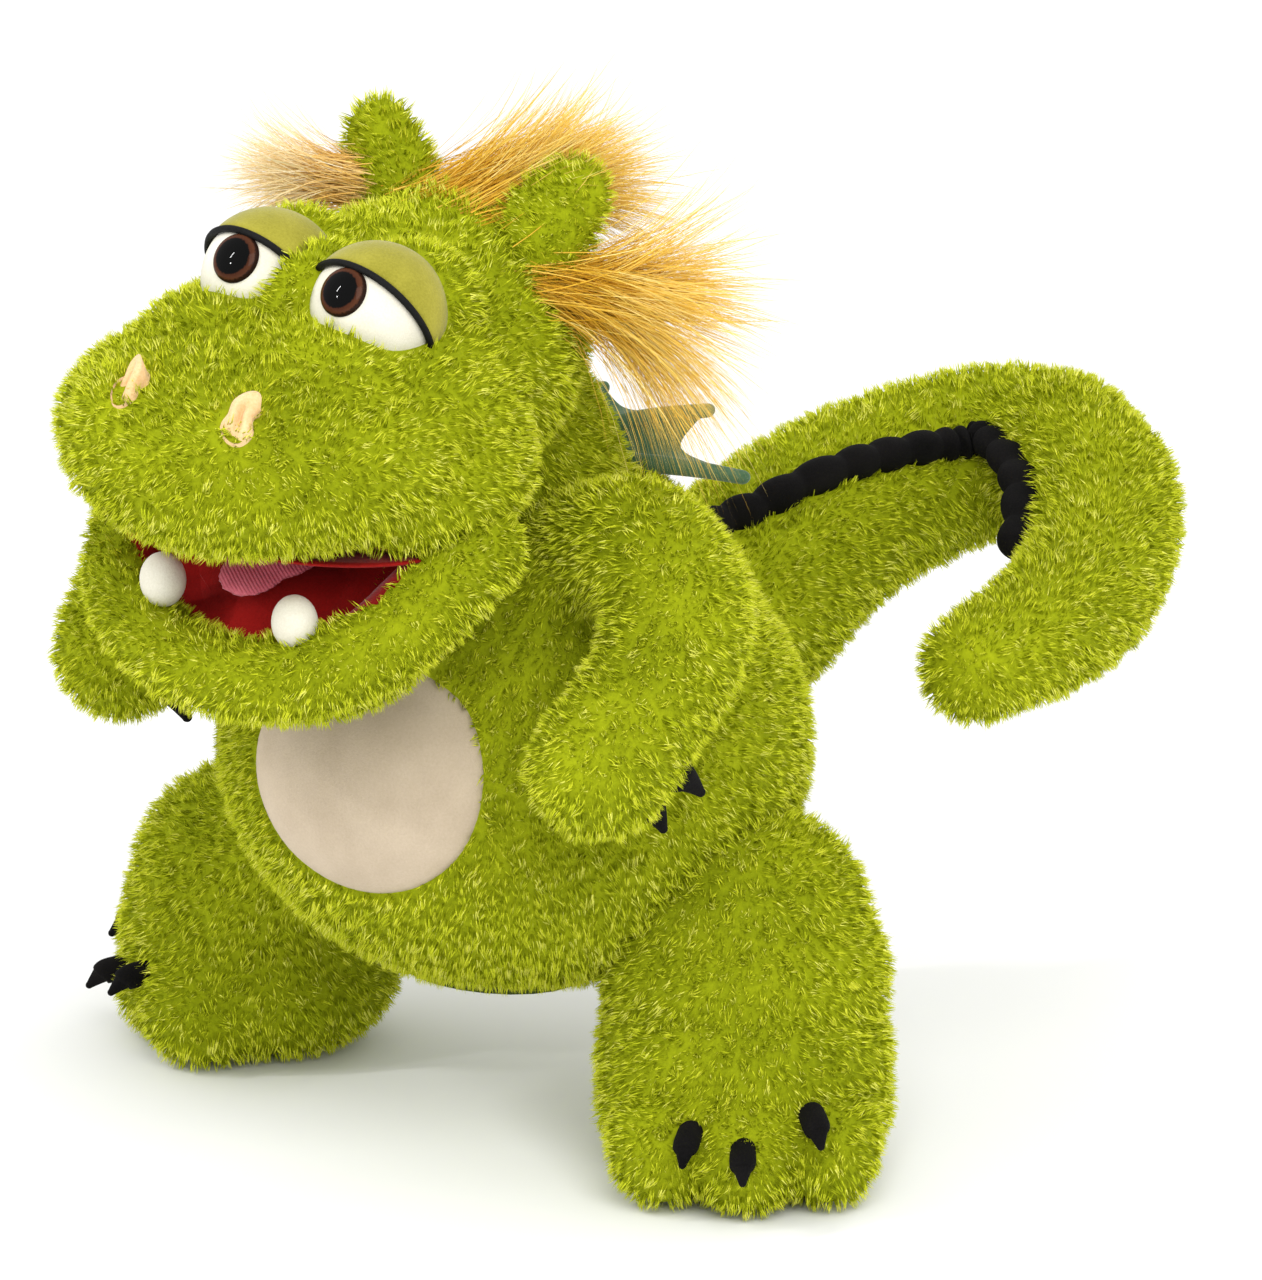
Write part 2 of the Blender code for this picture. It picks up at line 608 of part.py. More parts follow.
def make_jaw():
    outline = mouth_outline(BOARD_HALF_WIDTH, BOARD_LENGTH, 0.0)
    board = jaw_object("jaw_board", plate_mesh("jaw_board", outline, -BOARD, 0.0), "board")
    inner = [(x * 0.97, y * 0.97) for x, y in outline]
    jaw_object("jaw_lining", plate_mesh("jaw_lining", inner, GAP, GAP + LINING), "lining")
    lip_points = mouth_outline(BOARD_HALF_WIDTH + LIP_RADIUS + GAP, BOARD_LENGTH + LIP_RADIUS + GAP,
                               0.018, steps=6)
    lip_spine = [(x, y, -0.0015) for x, y in lip_points if y <= -0.017]
    lip = jaw_object("lower_lip", stuffed_mesh("lower_lip", lip_spine, [LIP_RADIUS] * len(lip_spine),
                     steps=2, count=12, side_hint=(0, 0, 1)), "plush")
    lip_bed = jaw_object("lip_bed", stuffed_mesh("lip_bed", lip_spine, [LIP_RADIUS] * len(lip_spine),
                         GAP, steps=2, count=12, side_hint=(0, 0, 1)))
    lid = jaw_object("above_bowl", box_mesh("above_bowl", (-0.1, -0.2, BOWL_TOP), (0.1, 0.1, 0.1)))
    back = jaw_object("behind_bowl", box_mesh("behind_bowl", (-0.1, -0.010, -0.1), (0.1, 0.1, 0.1)))
    cover = jaw_object("jaw_cover", bowl_mesh("jaw_cover", 0.0), "plush")
    thicken(cover, CLOTH)
    filling = jaw_object("jaw_stuffing", bowl_mesh("jaw_stuffing", -INSET), "filling")
    thumb_room = jaw_object("thumb_room", stuffed_mesh("thumb_room", THUMB_SPINE, THUMB_RADII,
                            CLOTH + GAP, flat=THUMB_FLAT, side_hint=(1, 0, 0), count=16))
    for piece in (cover, filling):
        for cutter in (lid, back, lip_bed):
            cut(piece, cutter)
    cut(filling, thumb_room)
    pocket = jaw_object("thumb_pocket", stuffed_mesh("thumb_pocket", THUMB_SPINE, THUMB_RADII,
                        0.0, flat=THUMB_FLAT, side_hint=(1, 0, 0), count=16), "sleeve")
    thicken(pocket, 0.0012)
    for cutter in (back, jaw_object("board_bed", box_mesh("board_bed", (-0.1, -0.2, -BOARD - GAP),
                                                          (0.1, 0.1, 0.1)))):
        cut(pocket, cutter)
    tongue = jaw_object("tongue", stuffed_mesh("tongue", [(0, -0.026, 0.0042), (0, -0.043, 0.0052),
                        (0, -0.055, 0.0045)], [0.0170, 0.0195, 0.0140], flat=0.15, count=16,
                        side_hint=(1, 0, 0)), "tongue")
    floor = jaw_object("lining_bed", box_mesh("lining_bed", (-0.1, -0.2, -0.05),
                                              (0.1, 0.1, 2 * GAP + LINING)))
    cut(tongue, floor)
    for side_name, side in SIDES.items():
        tooth = jaw_object(f"tooth_{side_name}", ball_mesh("tooth", (side * 0.034, -0.051, 0.0042),
                           0.0072, 14, 10, (1.0, 0.85, 1.0)), "velour_white")
        for cutter in (floor, lip_bed):
            cut(tooth, cutter)
    return board, lip


# ---- limbs -------------------------------------------------------------------------
def mirrored(points, side):
    return [(side * x, y, z) for x, y, z in points]


def make_arm(side_name, side):
    shoulder = Vector((side * SHOULDER.x, SHOULDER.y, SHOULDER.z))
    pivot = empty(f"shoulder_{side_name}", shoulder, ROOT)
    spine = mirrored(ARM_SPINE, side)

    def arm_mesh(name, grow):
        return stuffed_mesh(name, spine, ARM_RADII, grow, side_hint=(0, 0, 1))

    def torso_clearance(name):
        return torso_mesh(name, CLEAR)

    cover = new_object(f"arm_cover_{side_name}", arm_mesh("arm_cover", 0.0), pivot, "plush")
    thicken(cover, CLOTH)
    filling = new_object(f"arm_stuffing_{side_name}", arm_mesh("arm_stuffing", -INSET), pivot,
                         "filling")
    for piece in (cover, filling):
        swept_cutters(piece, torso_clearance, shoulder, SHOULDER_SWEEP)
    bed = new_object(f"hand_bed_{side_name}", arm_mesh("hand_bed", GAP), pivot)
    hand = Vector(spine[-1])
    for claw_name, shift, drop in (("upper", 0.010, -0.010), ("lower", -0.008, -0.020)):
        place = hand + Vector((side * (0.012 + shift), 0.018 - shift, drop))
        claw = new_object(f"hand_claw_{claw_name}_{side_name}", cone_mesh("hand_claw", place,
                          (side * 0.35, 0.90, -0.25), 0.0072, 0.0016, 0.030, 12), pivot, "claw")
        cut(claw, bed)


FOOT_CLAWS = {"inner": (0.052, -0.030), "middle": (0.063, 0.0), "outer": (0.052, 0.030)}


def make_leg(side_name, side):
    hip = Vector((side * HIP.x, HIP.y, HIP.z))
    pivot = empty(f"hip_{side_name}", hip, ROOT)

    def torso_clearance(name):
        return torso_mesh(name, CLEAR)

    cover = new_object(f"leg_cover_{side_name}", leg_mesh("leg_cover", side, 0.0), pivot, "plush")
    thicken(cover, CLOTH)
    filling = new_object(f"leg_stuffing_{side_name}", leg_mesh("leg_stuffing", side, -INSET),
                         pivot, "filling")
    for piece in (cover, filling):
        swept_cutters(piece, torso_clearance, hip, HIP_SWEEP)
    bed = new_object(f"foot_bed_{side_name}", leg_mesh("foot_bed", side, GAP), pivot)
    turn = side * FOOT_TURN[side]
    forward = Vector((math.sin(turn), -math.cos(turn), 0))
    outward = Vector((math.cos(turn), math.sin(turn), 0)) * side
    for claw_name, (reach, across) in FOOT_CLAWS.items():
        place = (FOOT_CENTRE[side] + Vector((0, 0, 0.036)) + forward * (reach + 0.008)
                 + outward * across)
        direction = forward + outward * across * 6.0 + Vector((0, 0, 0.15))
        claw = new_object(f"foot_claw_{claw_name}_{side_name}", cone_mesh("foot_claw", place,
                          direction, 0.0078, 0.0022, 0.034, 12), pivot, "claw")
        cut(claw, bed)


# ---- tail --------------------------------------------------------------------------
def make_tail():
    names = ("base", "middle", "tip")
    starts = (0, *TAIL_KNOTS)
    stops = (*TAIL_KNOTS, len(TAIL_SPINE) - 1)
    pivot = empty("tail_root", TAIL_ROOT, ROOT)
    points = [TAIL_ROOT, *(Vector(TAIL_SPINE[knot]) for knot in TAIL_KNOTS)]
    for number, name in enumerate(names):
        if number:
            pivot = empty(f"tail_{name}_bend", points[number], pivot)
        spine = TAIL_SPINE[starts[number]:stops[number] + 1]
        radii = TAIL_RADII[starts[number]:stops[number] + 1]
        if number == 0:
            spine = [tuple(TAIL_ROOT)] + spine
            radii = [TAIL_ROOT_RADIUS - 0.002] + radii
        piece = new_object(f"tail_{name}", stuffed_mesh("tail", spine, radii, steps=2, count=14,
                           side_hint=(0, 0, 1)), pivot, "plush")
        if number:
            ball = TAIL_RADII[starts[number]] + 2 * CLEAR
            cut(piece, new_object(f"tail_{name}_cup", ball_mesh("cup", points[number], ball, 20, 12),
                                  pivot))
        if number < 2:
            make_crest(name, number, spine, radii, pivot)


def make_crest(name, number, spine, radii, pivot):
    """A row of velour puffs along the tail's back, rolled towards the inside of its curl."""
    path = smooth_path(spine, radii, 6 - 2 * number)
    keep = path[7:-2] if number == 0 else path[3:-1]
    points = []
    for index, (place, radius) in enumerate(keep):
        along = (keep[min(index + 1, len(keep) - 1)][0] - keep[max(index - 1, 0)][0]).normalized()
        inner = along.cross(Vector((0, 0, 1))).normalized()
        upward = inner.cross(along)
        roll = CREST_ROLL[number]
        out = upward * math.cos(roll) + inner * math.sin(roll)
        puff = 0.0068 + 0.0018 * math.cos(math.pi * index)
        points.append((place + out * (radius + CREST_LIFT), puff))
    mesh = stuffed_mesh("crest", [tuple(point) for point, _ in points],
                        [radius for _, radius in points], steps=1, count=10, dome_steps=2)
    new_object(f"tail_crest_{name}", mesh, pivot, "claw")


CREST_ROLL = (math.radians(35.0), math.radians(40.0))
CREST_LIFT = 0.0102                  # middle of the puffs above the tail's cover


# ---- wings -------------------------------------------------------------------------
def make_wing(side_name, side):
    root = Vector((side * WING_ROOT.x, WING_ROOT.y, WING_ROOT.z))
    pivot = empty(f"wing_root_{side_name}", root, ROOT)
    outline = [(along, side * across) for along, across in WING_OUTLINE]
    mesh = plate_mesh("wing", outline, -WING_THICKNESS / 2, WING_THICKNESS / 2)
    heading = math.pi / 2 - side * WING_TURN
    turn = Matrix.Rotation(heading, 4, 'Z') @ Matrix.Rotation(side * WING_TILT, 4, 'X')
    mesh.transform(Matrix.Translation(root) @ turn)
    wing = new_object(f"wing_{side_name}", mesh, pivot, "wing")
    bevel = wing.modifiers.new("padding", 'BEVEL')
    bevel.width = 0.0015
    bevel.segments = 2
    bevel.limit_method = 'ANGLE'


make_torso()
make_neck()
make_head()
make_eyes()
make_head_trim()
make_jaw()
for each_name, each_side in SIDES.items():
    make_arm(each_name, each_side)
    make_leg(each_name, each_side)
    make_wing(each_name, each_side)
make_tail()
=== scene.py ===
"""The dragon hand puppet's looks: plush skins with a real pile, velour, felt and plastic.

All lengths are metres. Points are written in the puppet's own frame, whose zero is the
point on the floor between its feet; BODY_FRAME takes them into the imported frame.
"""

import json
import math

import bmesh
import bpy
import numpy as np
from mathutils import Matrix, Vector, kdtree


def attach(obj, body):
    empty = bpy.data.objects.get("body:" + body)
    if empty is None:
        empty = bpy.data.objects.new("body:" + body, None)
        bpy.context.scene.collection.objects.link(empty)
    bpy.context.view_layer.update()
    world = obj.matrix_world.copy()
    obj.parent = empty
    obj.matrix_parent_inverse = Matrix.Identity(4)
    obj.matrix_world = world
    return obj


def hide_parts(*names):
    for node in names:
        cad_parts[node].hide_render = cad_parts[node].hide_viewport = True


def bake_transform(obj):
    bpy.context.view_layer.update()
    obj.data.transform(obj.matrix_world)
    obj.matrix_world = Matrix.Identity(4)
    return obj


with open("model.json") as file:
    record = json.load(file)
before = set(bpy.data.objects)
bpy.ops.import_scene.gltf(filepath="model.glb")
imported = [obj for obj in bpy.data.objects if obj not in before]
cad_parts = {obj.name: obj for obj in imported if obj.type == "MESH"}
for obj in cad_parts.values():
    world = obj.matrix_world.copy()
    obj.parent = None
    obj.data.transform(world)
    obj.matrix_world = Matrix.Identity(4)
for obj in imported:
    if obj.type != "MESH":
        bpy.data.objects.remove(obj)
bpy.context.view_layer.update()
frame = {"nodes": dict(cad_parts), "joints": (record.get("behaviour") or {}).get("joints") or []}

# ---- the frame ---------------------------------------------------------------------
JOINTS = {joint["name"]: joint for joint in frame["joints"]}
NECK_HEIGHT = 0.303
SHIFT = Vector(JOINTS["neck_turn"]["pos_m"]) - Vector((0, 0, NECK_HEIGHT))
HEAD_ROLL = math.radians(3.0)
MOUTH_HINGE = Vector((0.0, -0.083, 0.300))
MOUTH_REST = math.radians(33.0)
SIDES = {"left": 1.0, "right": -1.0}
ROLL = Matrix.Rotation(HEAD_ROLL, 4, 'Y')
NECK_POINT = Vector((0, 0, NECK_HEIGHT))
HEAD_FRAME = Matrix.Translation(SHIFT + NECK_POINT) @ ROLL @ Matrix.Translation(-NECK_POINT)
BODY_FRAME = Matrix.Translation(SHIFT)
JAW_TURN = Matrix.Rotation(MOUTH_REST, 4, 'X')
JAW_FRAME = HEAD_FRAME @ Matrix.Translation(MOUTH_HINGE) @ JAW_TURN


# ---- materials ---------------------------------------------------------------------
CLOTH_SPECULAR = 0.12


def shader_of(name):
    made = bpy.data.materials.new(name)
    made.use_nodes = True
    return made, made.node_tree, made.node_tree.nodes["Principled BSDF"]


def add(nodes, kind, **sockets):
    made = nodes.new("ShaderNode" + kind)
    for name, value in sockets.items():
        made.inputs[name].default_value = value
    return made


def add_math(nodes, operation, second):
    made = nodes.new("ShaderNodeMath")
    made.operation = operation
    made.inputs[1].default_value = second
    return made


def add_relief(made, height, strength, distance):
    """Bump from one texture's output."""
    tree = made.node_tree
    relief = add(tree.nodes, "Bump", Strength=strength, Distance=distance)
    tree.links.new(height, relief.inputs["Height"])
    tree.links.new(relief.outputs["Normal"], tree.nodes["Principled BSDF"].inputs["Normal"])


def cloth_material(name, dark, light, scale, bump=0.25, roughness=0.9, sheen=0.0):
    """Short pile or felt: two tones in fine noise over soft larger patches."""
    made, tree, shader = shader_of(name)
    nodes, links = tree.nodes, tree.links
    place = nodes.new("ShaderNodeTexCoord")
    fine = add(nodes, "TexNoise", Scale=scale, Detail=6.0, Roughness=0.7)
    broad = add(nodes, "TexNoise", Scale=scale / 22.0)
    for noise in (fine, broad):
        links.new(place.outputs["Object"], noise.inputs["Vector"])
    both = add_math(nodes, 'MULTIPLY_ADD', 0.55)
    links.new(broad.outputs["Fac"], both.inputs[0])
    half = add_math(nodes, 'MULTIPLY', 0.5)
    links.new(fine.outputs["Fac"], half.inputs[0])
    links.new(half.outputs[0], both.inputs[2])
    ramp = nodes.new("ShaderNodeValToRGB")
    for stop, position, colour in zip(ramp.color_ramp.elements, (0.36, 0.68), (dark, light)):
        stop.position = position
        stop.color = (*colour, 1)
    links.new(both.outputs[0], ramp.inputs["Fac"])
    links.new(ramp.outputs["Color"], shader.inputs["Base Color"])
    add_relief(made, fine.outputs["Fac"], bump, 0.0006)
    set_shader(shader, roughness, sheen)
    shader.inputs["Sheen Roughness"].default_value = 0.4
    return made


def set_shader(shader, roughness, sheen=0.0):
    shader.inputs["Roughness"].default_value = roughness
    shader.inputs["Specular IOR Level"].default_value = CLOTH_SPECULAR
    shader.inputs["Sheen Weight"].default_value = sheen


def fibre_material(name, colour, roughness=0.75):
    """One shade of a pile's fibres; a pile mixes several over its blades' roots and tips."""
    made, _, shader = shader_of(name)
    shader.inputs["Base Color"].default_value = (*colour, 1)
    set_shader(shader, roughness)
    made.diffuse_color = (*colour, 1)
    return made


PILE_SHADES = [                     # root, tip: each root darker as painted shade down in the pile, each tip lighter as painted highlight
    ((0.340, 0.385, 0.004), (0.62, 0.66, 0.026)),
    ((0.300, 0.345, 0.003), (0.54, 0.59, 0.018)),
    ((0.380, 0.425, 0.005), (0.70, 0.72, 0.048)),
    ((0.250, 0.295, 0.002), (0.46, 0.52, 0.012)),
    ((0.400, 0.435, 0.007), (0.80, 0.80, 0.130)),
]
PLUSH = []
# each tone as a darker root material (painted shade) and a lighter tip material (painted highlight)
for number, (root, tip) in enumerate(PILE_SHADES):
    PLUSH.append(fibre_material(f"plush_shaded_root_{number}", root))
    PLUSH.append(fibre_material(f"plush_lit_tip_{number}", tip))
HAIR_SHADES = [((0.72, 0.42, 0.035), (0.86, 0.60, 0.12)), ((0.62, 0.33, 0.02), (0.80, 0.50, 0.07)),
               ((0.80, 0.52, 0.08), (0.90, 0.70, 0.24))]
PALE_SHADES = [((0.80, 0.52, 0.16), (0.90, 0.74, 0.42)), ((0.74, 0.44, 0.10), (0.86, 0.62, 0.28)),
               ((0.84, 0.60, 0.24), (0.92, 0.80, 0.55))]


def hair_materials(name, shades):
    made = []
    for number, (root, tip) in enumerate(shades):
        made.append(fibre_material(f"{name}_root_{number}", root, 0.45))
        made.append(fibre_material(f"{name}_tip_{number}", tip, 0.45))
    return made


HAIR = hair_materials("hair", HAIR_SHADES)
PALE_HAIR = hair_materials("pale_hair", PALE_SHADES)
# skin under the pile: two tones in noise, as dark as the fibres' roots, painted shade deep between the
# fibres
SHADED_BACKING = cloth_material("plush_backing_shaded", (0.20, 0.24, 0.002), (0.36, 0.41, 0.006), 420, 0.8)
BELLY = cloth_material("belly_velour", (0.46, 0.37, 0.265), (0.57, 0.47, 0.35), 900, 0.35, 0.9, 0.15)
WHITE = cloth_material("cream_velour", (0.70, 0.66, 0.54), (0.86, 0.83, 0.72), 1100, 0.4, 0.9, 0.3)
LINING = cloth_material("red_velour", (0.20, 0.004, 0.003), (0.42, 0.010, 0.008), 900, 0.4, 0.8, 0.15)
LID = cloth_material("olive_velour", (0.24, 0.22, 0.020), (0.40, 0.36, 0.045), 900, 0.4, 0.85, 0.25)
PEACH = cloth_material("peach_velour", (0.74, 0.42, 0.17), (0.90, 0.66, 0.38), 900, 0.4, 0.9, 0.3)
BLACK = cloth_material("black_velour", (0.001, 0.001, 0.001), (0.007, 0.006, 0.006), 1100, 0.6, 0.9, 0.0)
WING = cloth_material("wing_velour", (0.045, 0.105, 0.048), (0.105, 0.185, 0.105), 900, 0.4, 0.8, 0.3)
PIPING = cloth_material("black_cord", (0.002, 0.002, 0.002), (0.010, 0.010, 0.010), 1600, 0.5, 0.6)
SLEEVE = cloth_material("sleeve_cloth", (0.030, 0.045, 0.010), (0.060, 0.085, 0.020), 1500, 0.3, 0.8)


def tongue_material():
    """Pink velour with fine slanting ribs."""
    made = cloth_material("tongue_velour", (0.50, 0.085, 0.12), (0.70, 0.17, 0.22), 800, 0.2, 0.8, 0.2)
    nodes = made.node_tree.nodes
    place = nodes.new("ShaderNodeTexCoord")
    ribs = add(nodes, "TexWave", Scale=260.0, Distortion=0.6)
    ribs.bands_direction = 'DIAGONAL'
    made.node_tree.links.new(place.outputs["Object"], ribs.inputs["Vector"])
    add_relief(made, ribs.outputs["Fac"], 0.5, 0.0005)
    return made


IRIS_STOPS = [                       # share of the radius, colour
    (0.77, (0.003, 0.003, 0.003)),
    (0.82, (0.060, 0.019, 0.009)),
    (0.95, (0.085, 0.030, 0.014)),
    (1.00, (0.020, 0.009, 0.006)),
]
EYE_GLOSS = {"Roughness": 0.06, "Specular IOR Level": 0.0, "Coat Weight": 1.0, "Coat Roughness": 0.01,
             "Coat IOR": 1.16}


def eye_material():
    """Glossy moulded plastic: black pupil, dark brown ring, black rim, by distance from the axis."""
    made, tree, shader = shader_of("eye_plastic")
    nodes, links = tree.nodes, tree.links
    place = nodes.new("ShaderNodeTexCoord")
    split = nodes.new("ShaderNodeSeparateXYZ")
    links.new(place.outputs["Object"], split.inputs["Vector"])
    flat = nodes.new("ShaderNodeCombineXYZ")
    links.new(split.outputs["X"], flat.inputs["X"])
    links.new(split.outputs["Y"], flat.inputs["Y"])
    reach = nodes.new("ShaderNodeVectorMath")
    reach.operation = 'LENGTH'
    links.new(flat.outputs["Vector"], reach.inputs[0])
    fibres = add(nodes, "TexNoise", Scale=900.0)
    links.new(place.outputs["Object"], fibres.inputs["Vector"])
    shake = add_math(nodes, 'MULTIPLY_ADD', 0.0012)
    links.new(fibres.outputs["Fac"], shake.inputs[0])
    links.new(reach.outputs["Value"], shake.inputs[2])
    size = add_math(nodes, 'DIVIDE', IRIS_RADIUS)
    links.new(shake.outputs[0], size.inputs[0])
    ramp = nodes.new("ShaderNodeValToRGB")
    stops = ramp.color_ramp.elements
    for position in (0.95, 1.0):
        stops.new(position)
    for stop, position, colour in zip(stops, *zip(*IRIS_STOPS)):
        stop.position = position
        stop.color = (*colour, 1)
    links.new(size.outputs[0], ramp.inputs["Fac"])
    links.new(ramp.outputs["Color"], shader.inputs["Base Color"])
    for socket, value in EYE_GLOSS.items():
        shader.inputs[socket].default_value = value
    return made


# ---- mesh helpers ------------------------------------------------------------------
def link(name, mesh, material=None):
    """An object in the scene with this mesh, curve, lamp or camera."""
    piece = bpy.data.objects.new(name, mesh)
    bpy.context.scene.collection.objects.link(piece)
    if material:
        mesh.materials.clear()
        mesh.materials.append(material)
    return piece


def surface_of(name):
    return bpy.data.objects[name].evaluated_get(bpy.context.evaluated_depsgraph_get())


def smooth_faces(mesh):
    mesh.polygons.foreach_set("use_smooth", [True] * len(mesh.polygons))
    mesh.update()


def shape(name, build):
    """The mesh built in build, smooth shaded."""
    mesh = bpy.data.meshes.new(name)
    build.to_mesh(mesh)
    build.free()
    smooth_faces(mesh)
    return mesh


def thicken(piece, thickness, offset=-1):
    thick = piece.modifiers.new("cloth", 'SOLIDIFY')
    thick.thickness = thickness
    thick.offset = offset


def refine(piece):
    finer = piece.modifiers.new("finer", 'SUBSURF')
    finer.levels = 1
    finer.render_levels = 1


def ring_faces(build, loops):
    """Faces between closed loops of the same number of points."""
    made = []
    for first, second in zip(loops, loops[1:]):
        for step in range(len(first)):
            after = (step + 1) % len(first)
            made.append(build.faces.new((first[step], first[after], second[after], second[step])))
    return made


def dome_faces(build, heart, loops):
    """Faces round one middle point and on through loops of points."""
    spokes = len(loops[0])
    for spoke in range(spokes):
        after = (spoke + 1) % spokes
        build.faces.new((heart, loops[0][spoke], loops[0][after]))
        for first, second in zip(loops, loops[1:]):
            build.faces.new((first[spoke], second[spoke], second[after], first[after]))


def grid_faces(build, rows):
    for first, second in zip(rows, rows[1:]):
        for step in range(len(first) - 1):
            build.faces.new((first[step], first[step + 1], second[step + 1], second[step]))


def ellipsoid(build, centre, half, turn=None):
    placed = Matrix.Translation(Vector(centre)) @ (turn or Matrix.Identity(4)) @ Matrix.Diagonal((*half, 1))
    bmesh.ops.create_uvsphere(build, u_segments=32, v_segments=20, radius=1.0, matrix=placed)


def smooth_path(points, steps):
    """Catmull-Rom through rows of numbers: places with their radii."""
    rows = [np.array(point, float) for point in points]
    rows = [rows[0] * 2 - rows[1]] + rows + [rows[-1] * 2 - rows[-2]]
    path = []
    for index in range(len(rows) - 3):
        before, start, stop, after = rows[index:index + 4]
        for step in range(steps):
            t = step / steps
            path.append(0.5 * (2 * start + (stop - before) * t
                               + (2 * before - 5 * start + 4 * stop - after) * t ** 2
                               + (3 * start - before - 3 * stop + after) * t ** 3))
    path.append(rows[-2])
    return path


def stuffed(build, points, steps=6, count=20, flat=1.0, side_hint=None, dome_steps=5):
    """A domed tube along (x, y, z, radius) rows, as in the CAD."""
    path = smooth_path(points, steps)
    places = [Vector(row[:3]) for row in path]
    along = [(places[min(i + 1, len(places) - 1)] - places[max(i - 1, 0)]).normalized()
             for i in range(len(places))]
    side = Vector(side_hint) if side_hint else along[0].orthogonal()
    rings = []
    for place, tangent, row in zip(places, along, path):
        side = (side - tangent * side.dot(tangent)).normalized()
        rings.append((place, tangent, side.copy(), tangent.cross(side), row[3]))
    loops = []

    def add(frame_row, out, size):
        place, tangent, ring_side, ring_up, radius = frame_row
        middle = place + tangent * radius * out
        loops.append([build.verts.new(middle + ring_side * math.cos(t) * radius * size
                                      + ring_up * math.sin(t) * radius * size * flat)
                      for t in (2 * math.pi * k / count for k in range(count))])

    for step in range(1, dome_steps + 1):
        tip = math.pi / 2 * step / (dome_steps + 1)
        add(rings[0], -math.cos(tip), math.sin(tip))
    for row in rings:
        add(row, 0.0, 1.0)
    for step in range(dome_steps, 0, -1):
        tip = math.pi / 2 * step / (dome_steps + 1)
        add(rings[-1], math.cos(tip), math.sin(tip))
    made = ring_faces(build, loops)
    made.append(build.faces.new(list(reversed(loops[0]))))
    made.append(build.faces.new(loops[-1]))
    bmesh.ops.recalc_face_normals(build, faces=made)


def remeshed(name, build, matrix, voxel=0.0035, smoothing=6):
    """One continuous skin over the forms in build, smoothed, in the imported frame."""
    bmesh.ops.transform(build, matrix=matrix, verts=build.verts)
    mesh = bpy.data.meshes.new(name)
    build.to_mesh(mesh)
    build.free()
    rough = link(name + "_rough", mesh)
    remesh = rough.modifiers.new("remesh", 'REMESH')
    remesh.mode = 'VOXEL'
    remesh.voxel_size = voxel
    soft = rough.modifiers.new("smooth", 'SMOOTH')
    soft.iterations = smoothing
    soft.factor = 0.5
    graph = bpy.context.evaluated_depsgraph_get()
    made = bpy.data.meshes.new_from_object(rough.evaluated_get(graph))
    made.name = name
    bpy.data.objects.remove(rough, do_unlink=True)
    smooth_faces(made)
    return made


# ---- pile --------------------------------------------------------------------------
FLOOR_GAP = 0.0004                   # how far fibre ends stay above the floor


def vertex_rows(mesh, what):
    rows = np.empty(len(mesh.vertices) * 3, np.float32)
    mesh.vertices.foreach_get(what, rows)
    return rows.reshape(-1, 3).astype(float)


def surface_samples(mesh, gap, seed):
    """Random points on a mesh with their normals, evenly by area and about gap apart."""
    rng = np.random.default_rng(seed)
    mesh.calc_loop_triangles()
    corners = np.empty(len(mesh.loop_triangles) * 3, np.int32)
    mesh.loop_triangles.foreach_get("vertices", corners)
    corners = corners.reshape(-1, 3)
    places, normals = (vertex_rows(mesh, what) for what in ("co", "normal"))
    a, b, c = (places[corners[:, k]] for k in range(3))
    area = np.linalg.norm(np.cross(b - a, c - a), axis=1) / 2
    count = int(area.sum() / gap ** 2)
    pick = rng.choice(len(corners), size=count, p=area / area.sum())
    u, v = rng.random(count), rng.random(count)
    over = u + v > 1
    u[over], v[over] = 1 - u[over], 1 - v[over]
    w = 1 - u - v
    point = a[pick] * w[:, None] + b[pick] * u[:, None] + c[pick] * v[:, None]
    n = (normals[corners[pick, 0]] * w[:, None] + normals[corners[pick, 1]] * u[:, None]
         + normals[corners[pick, 2]] * v[:, None])
    n /= np.linalg.norm(n, axis=1)[:, None] + 1e-12
    return point, n


def unit(rows):
    return rows / (np.linalg.norm(rows, axis=1)[:, None] + 1e-12)


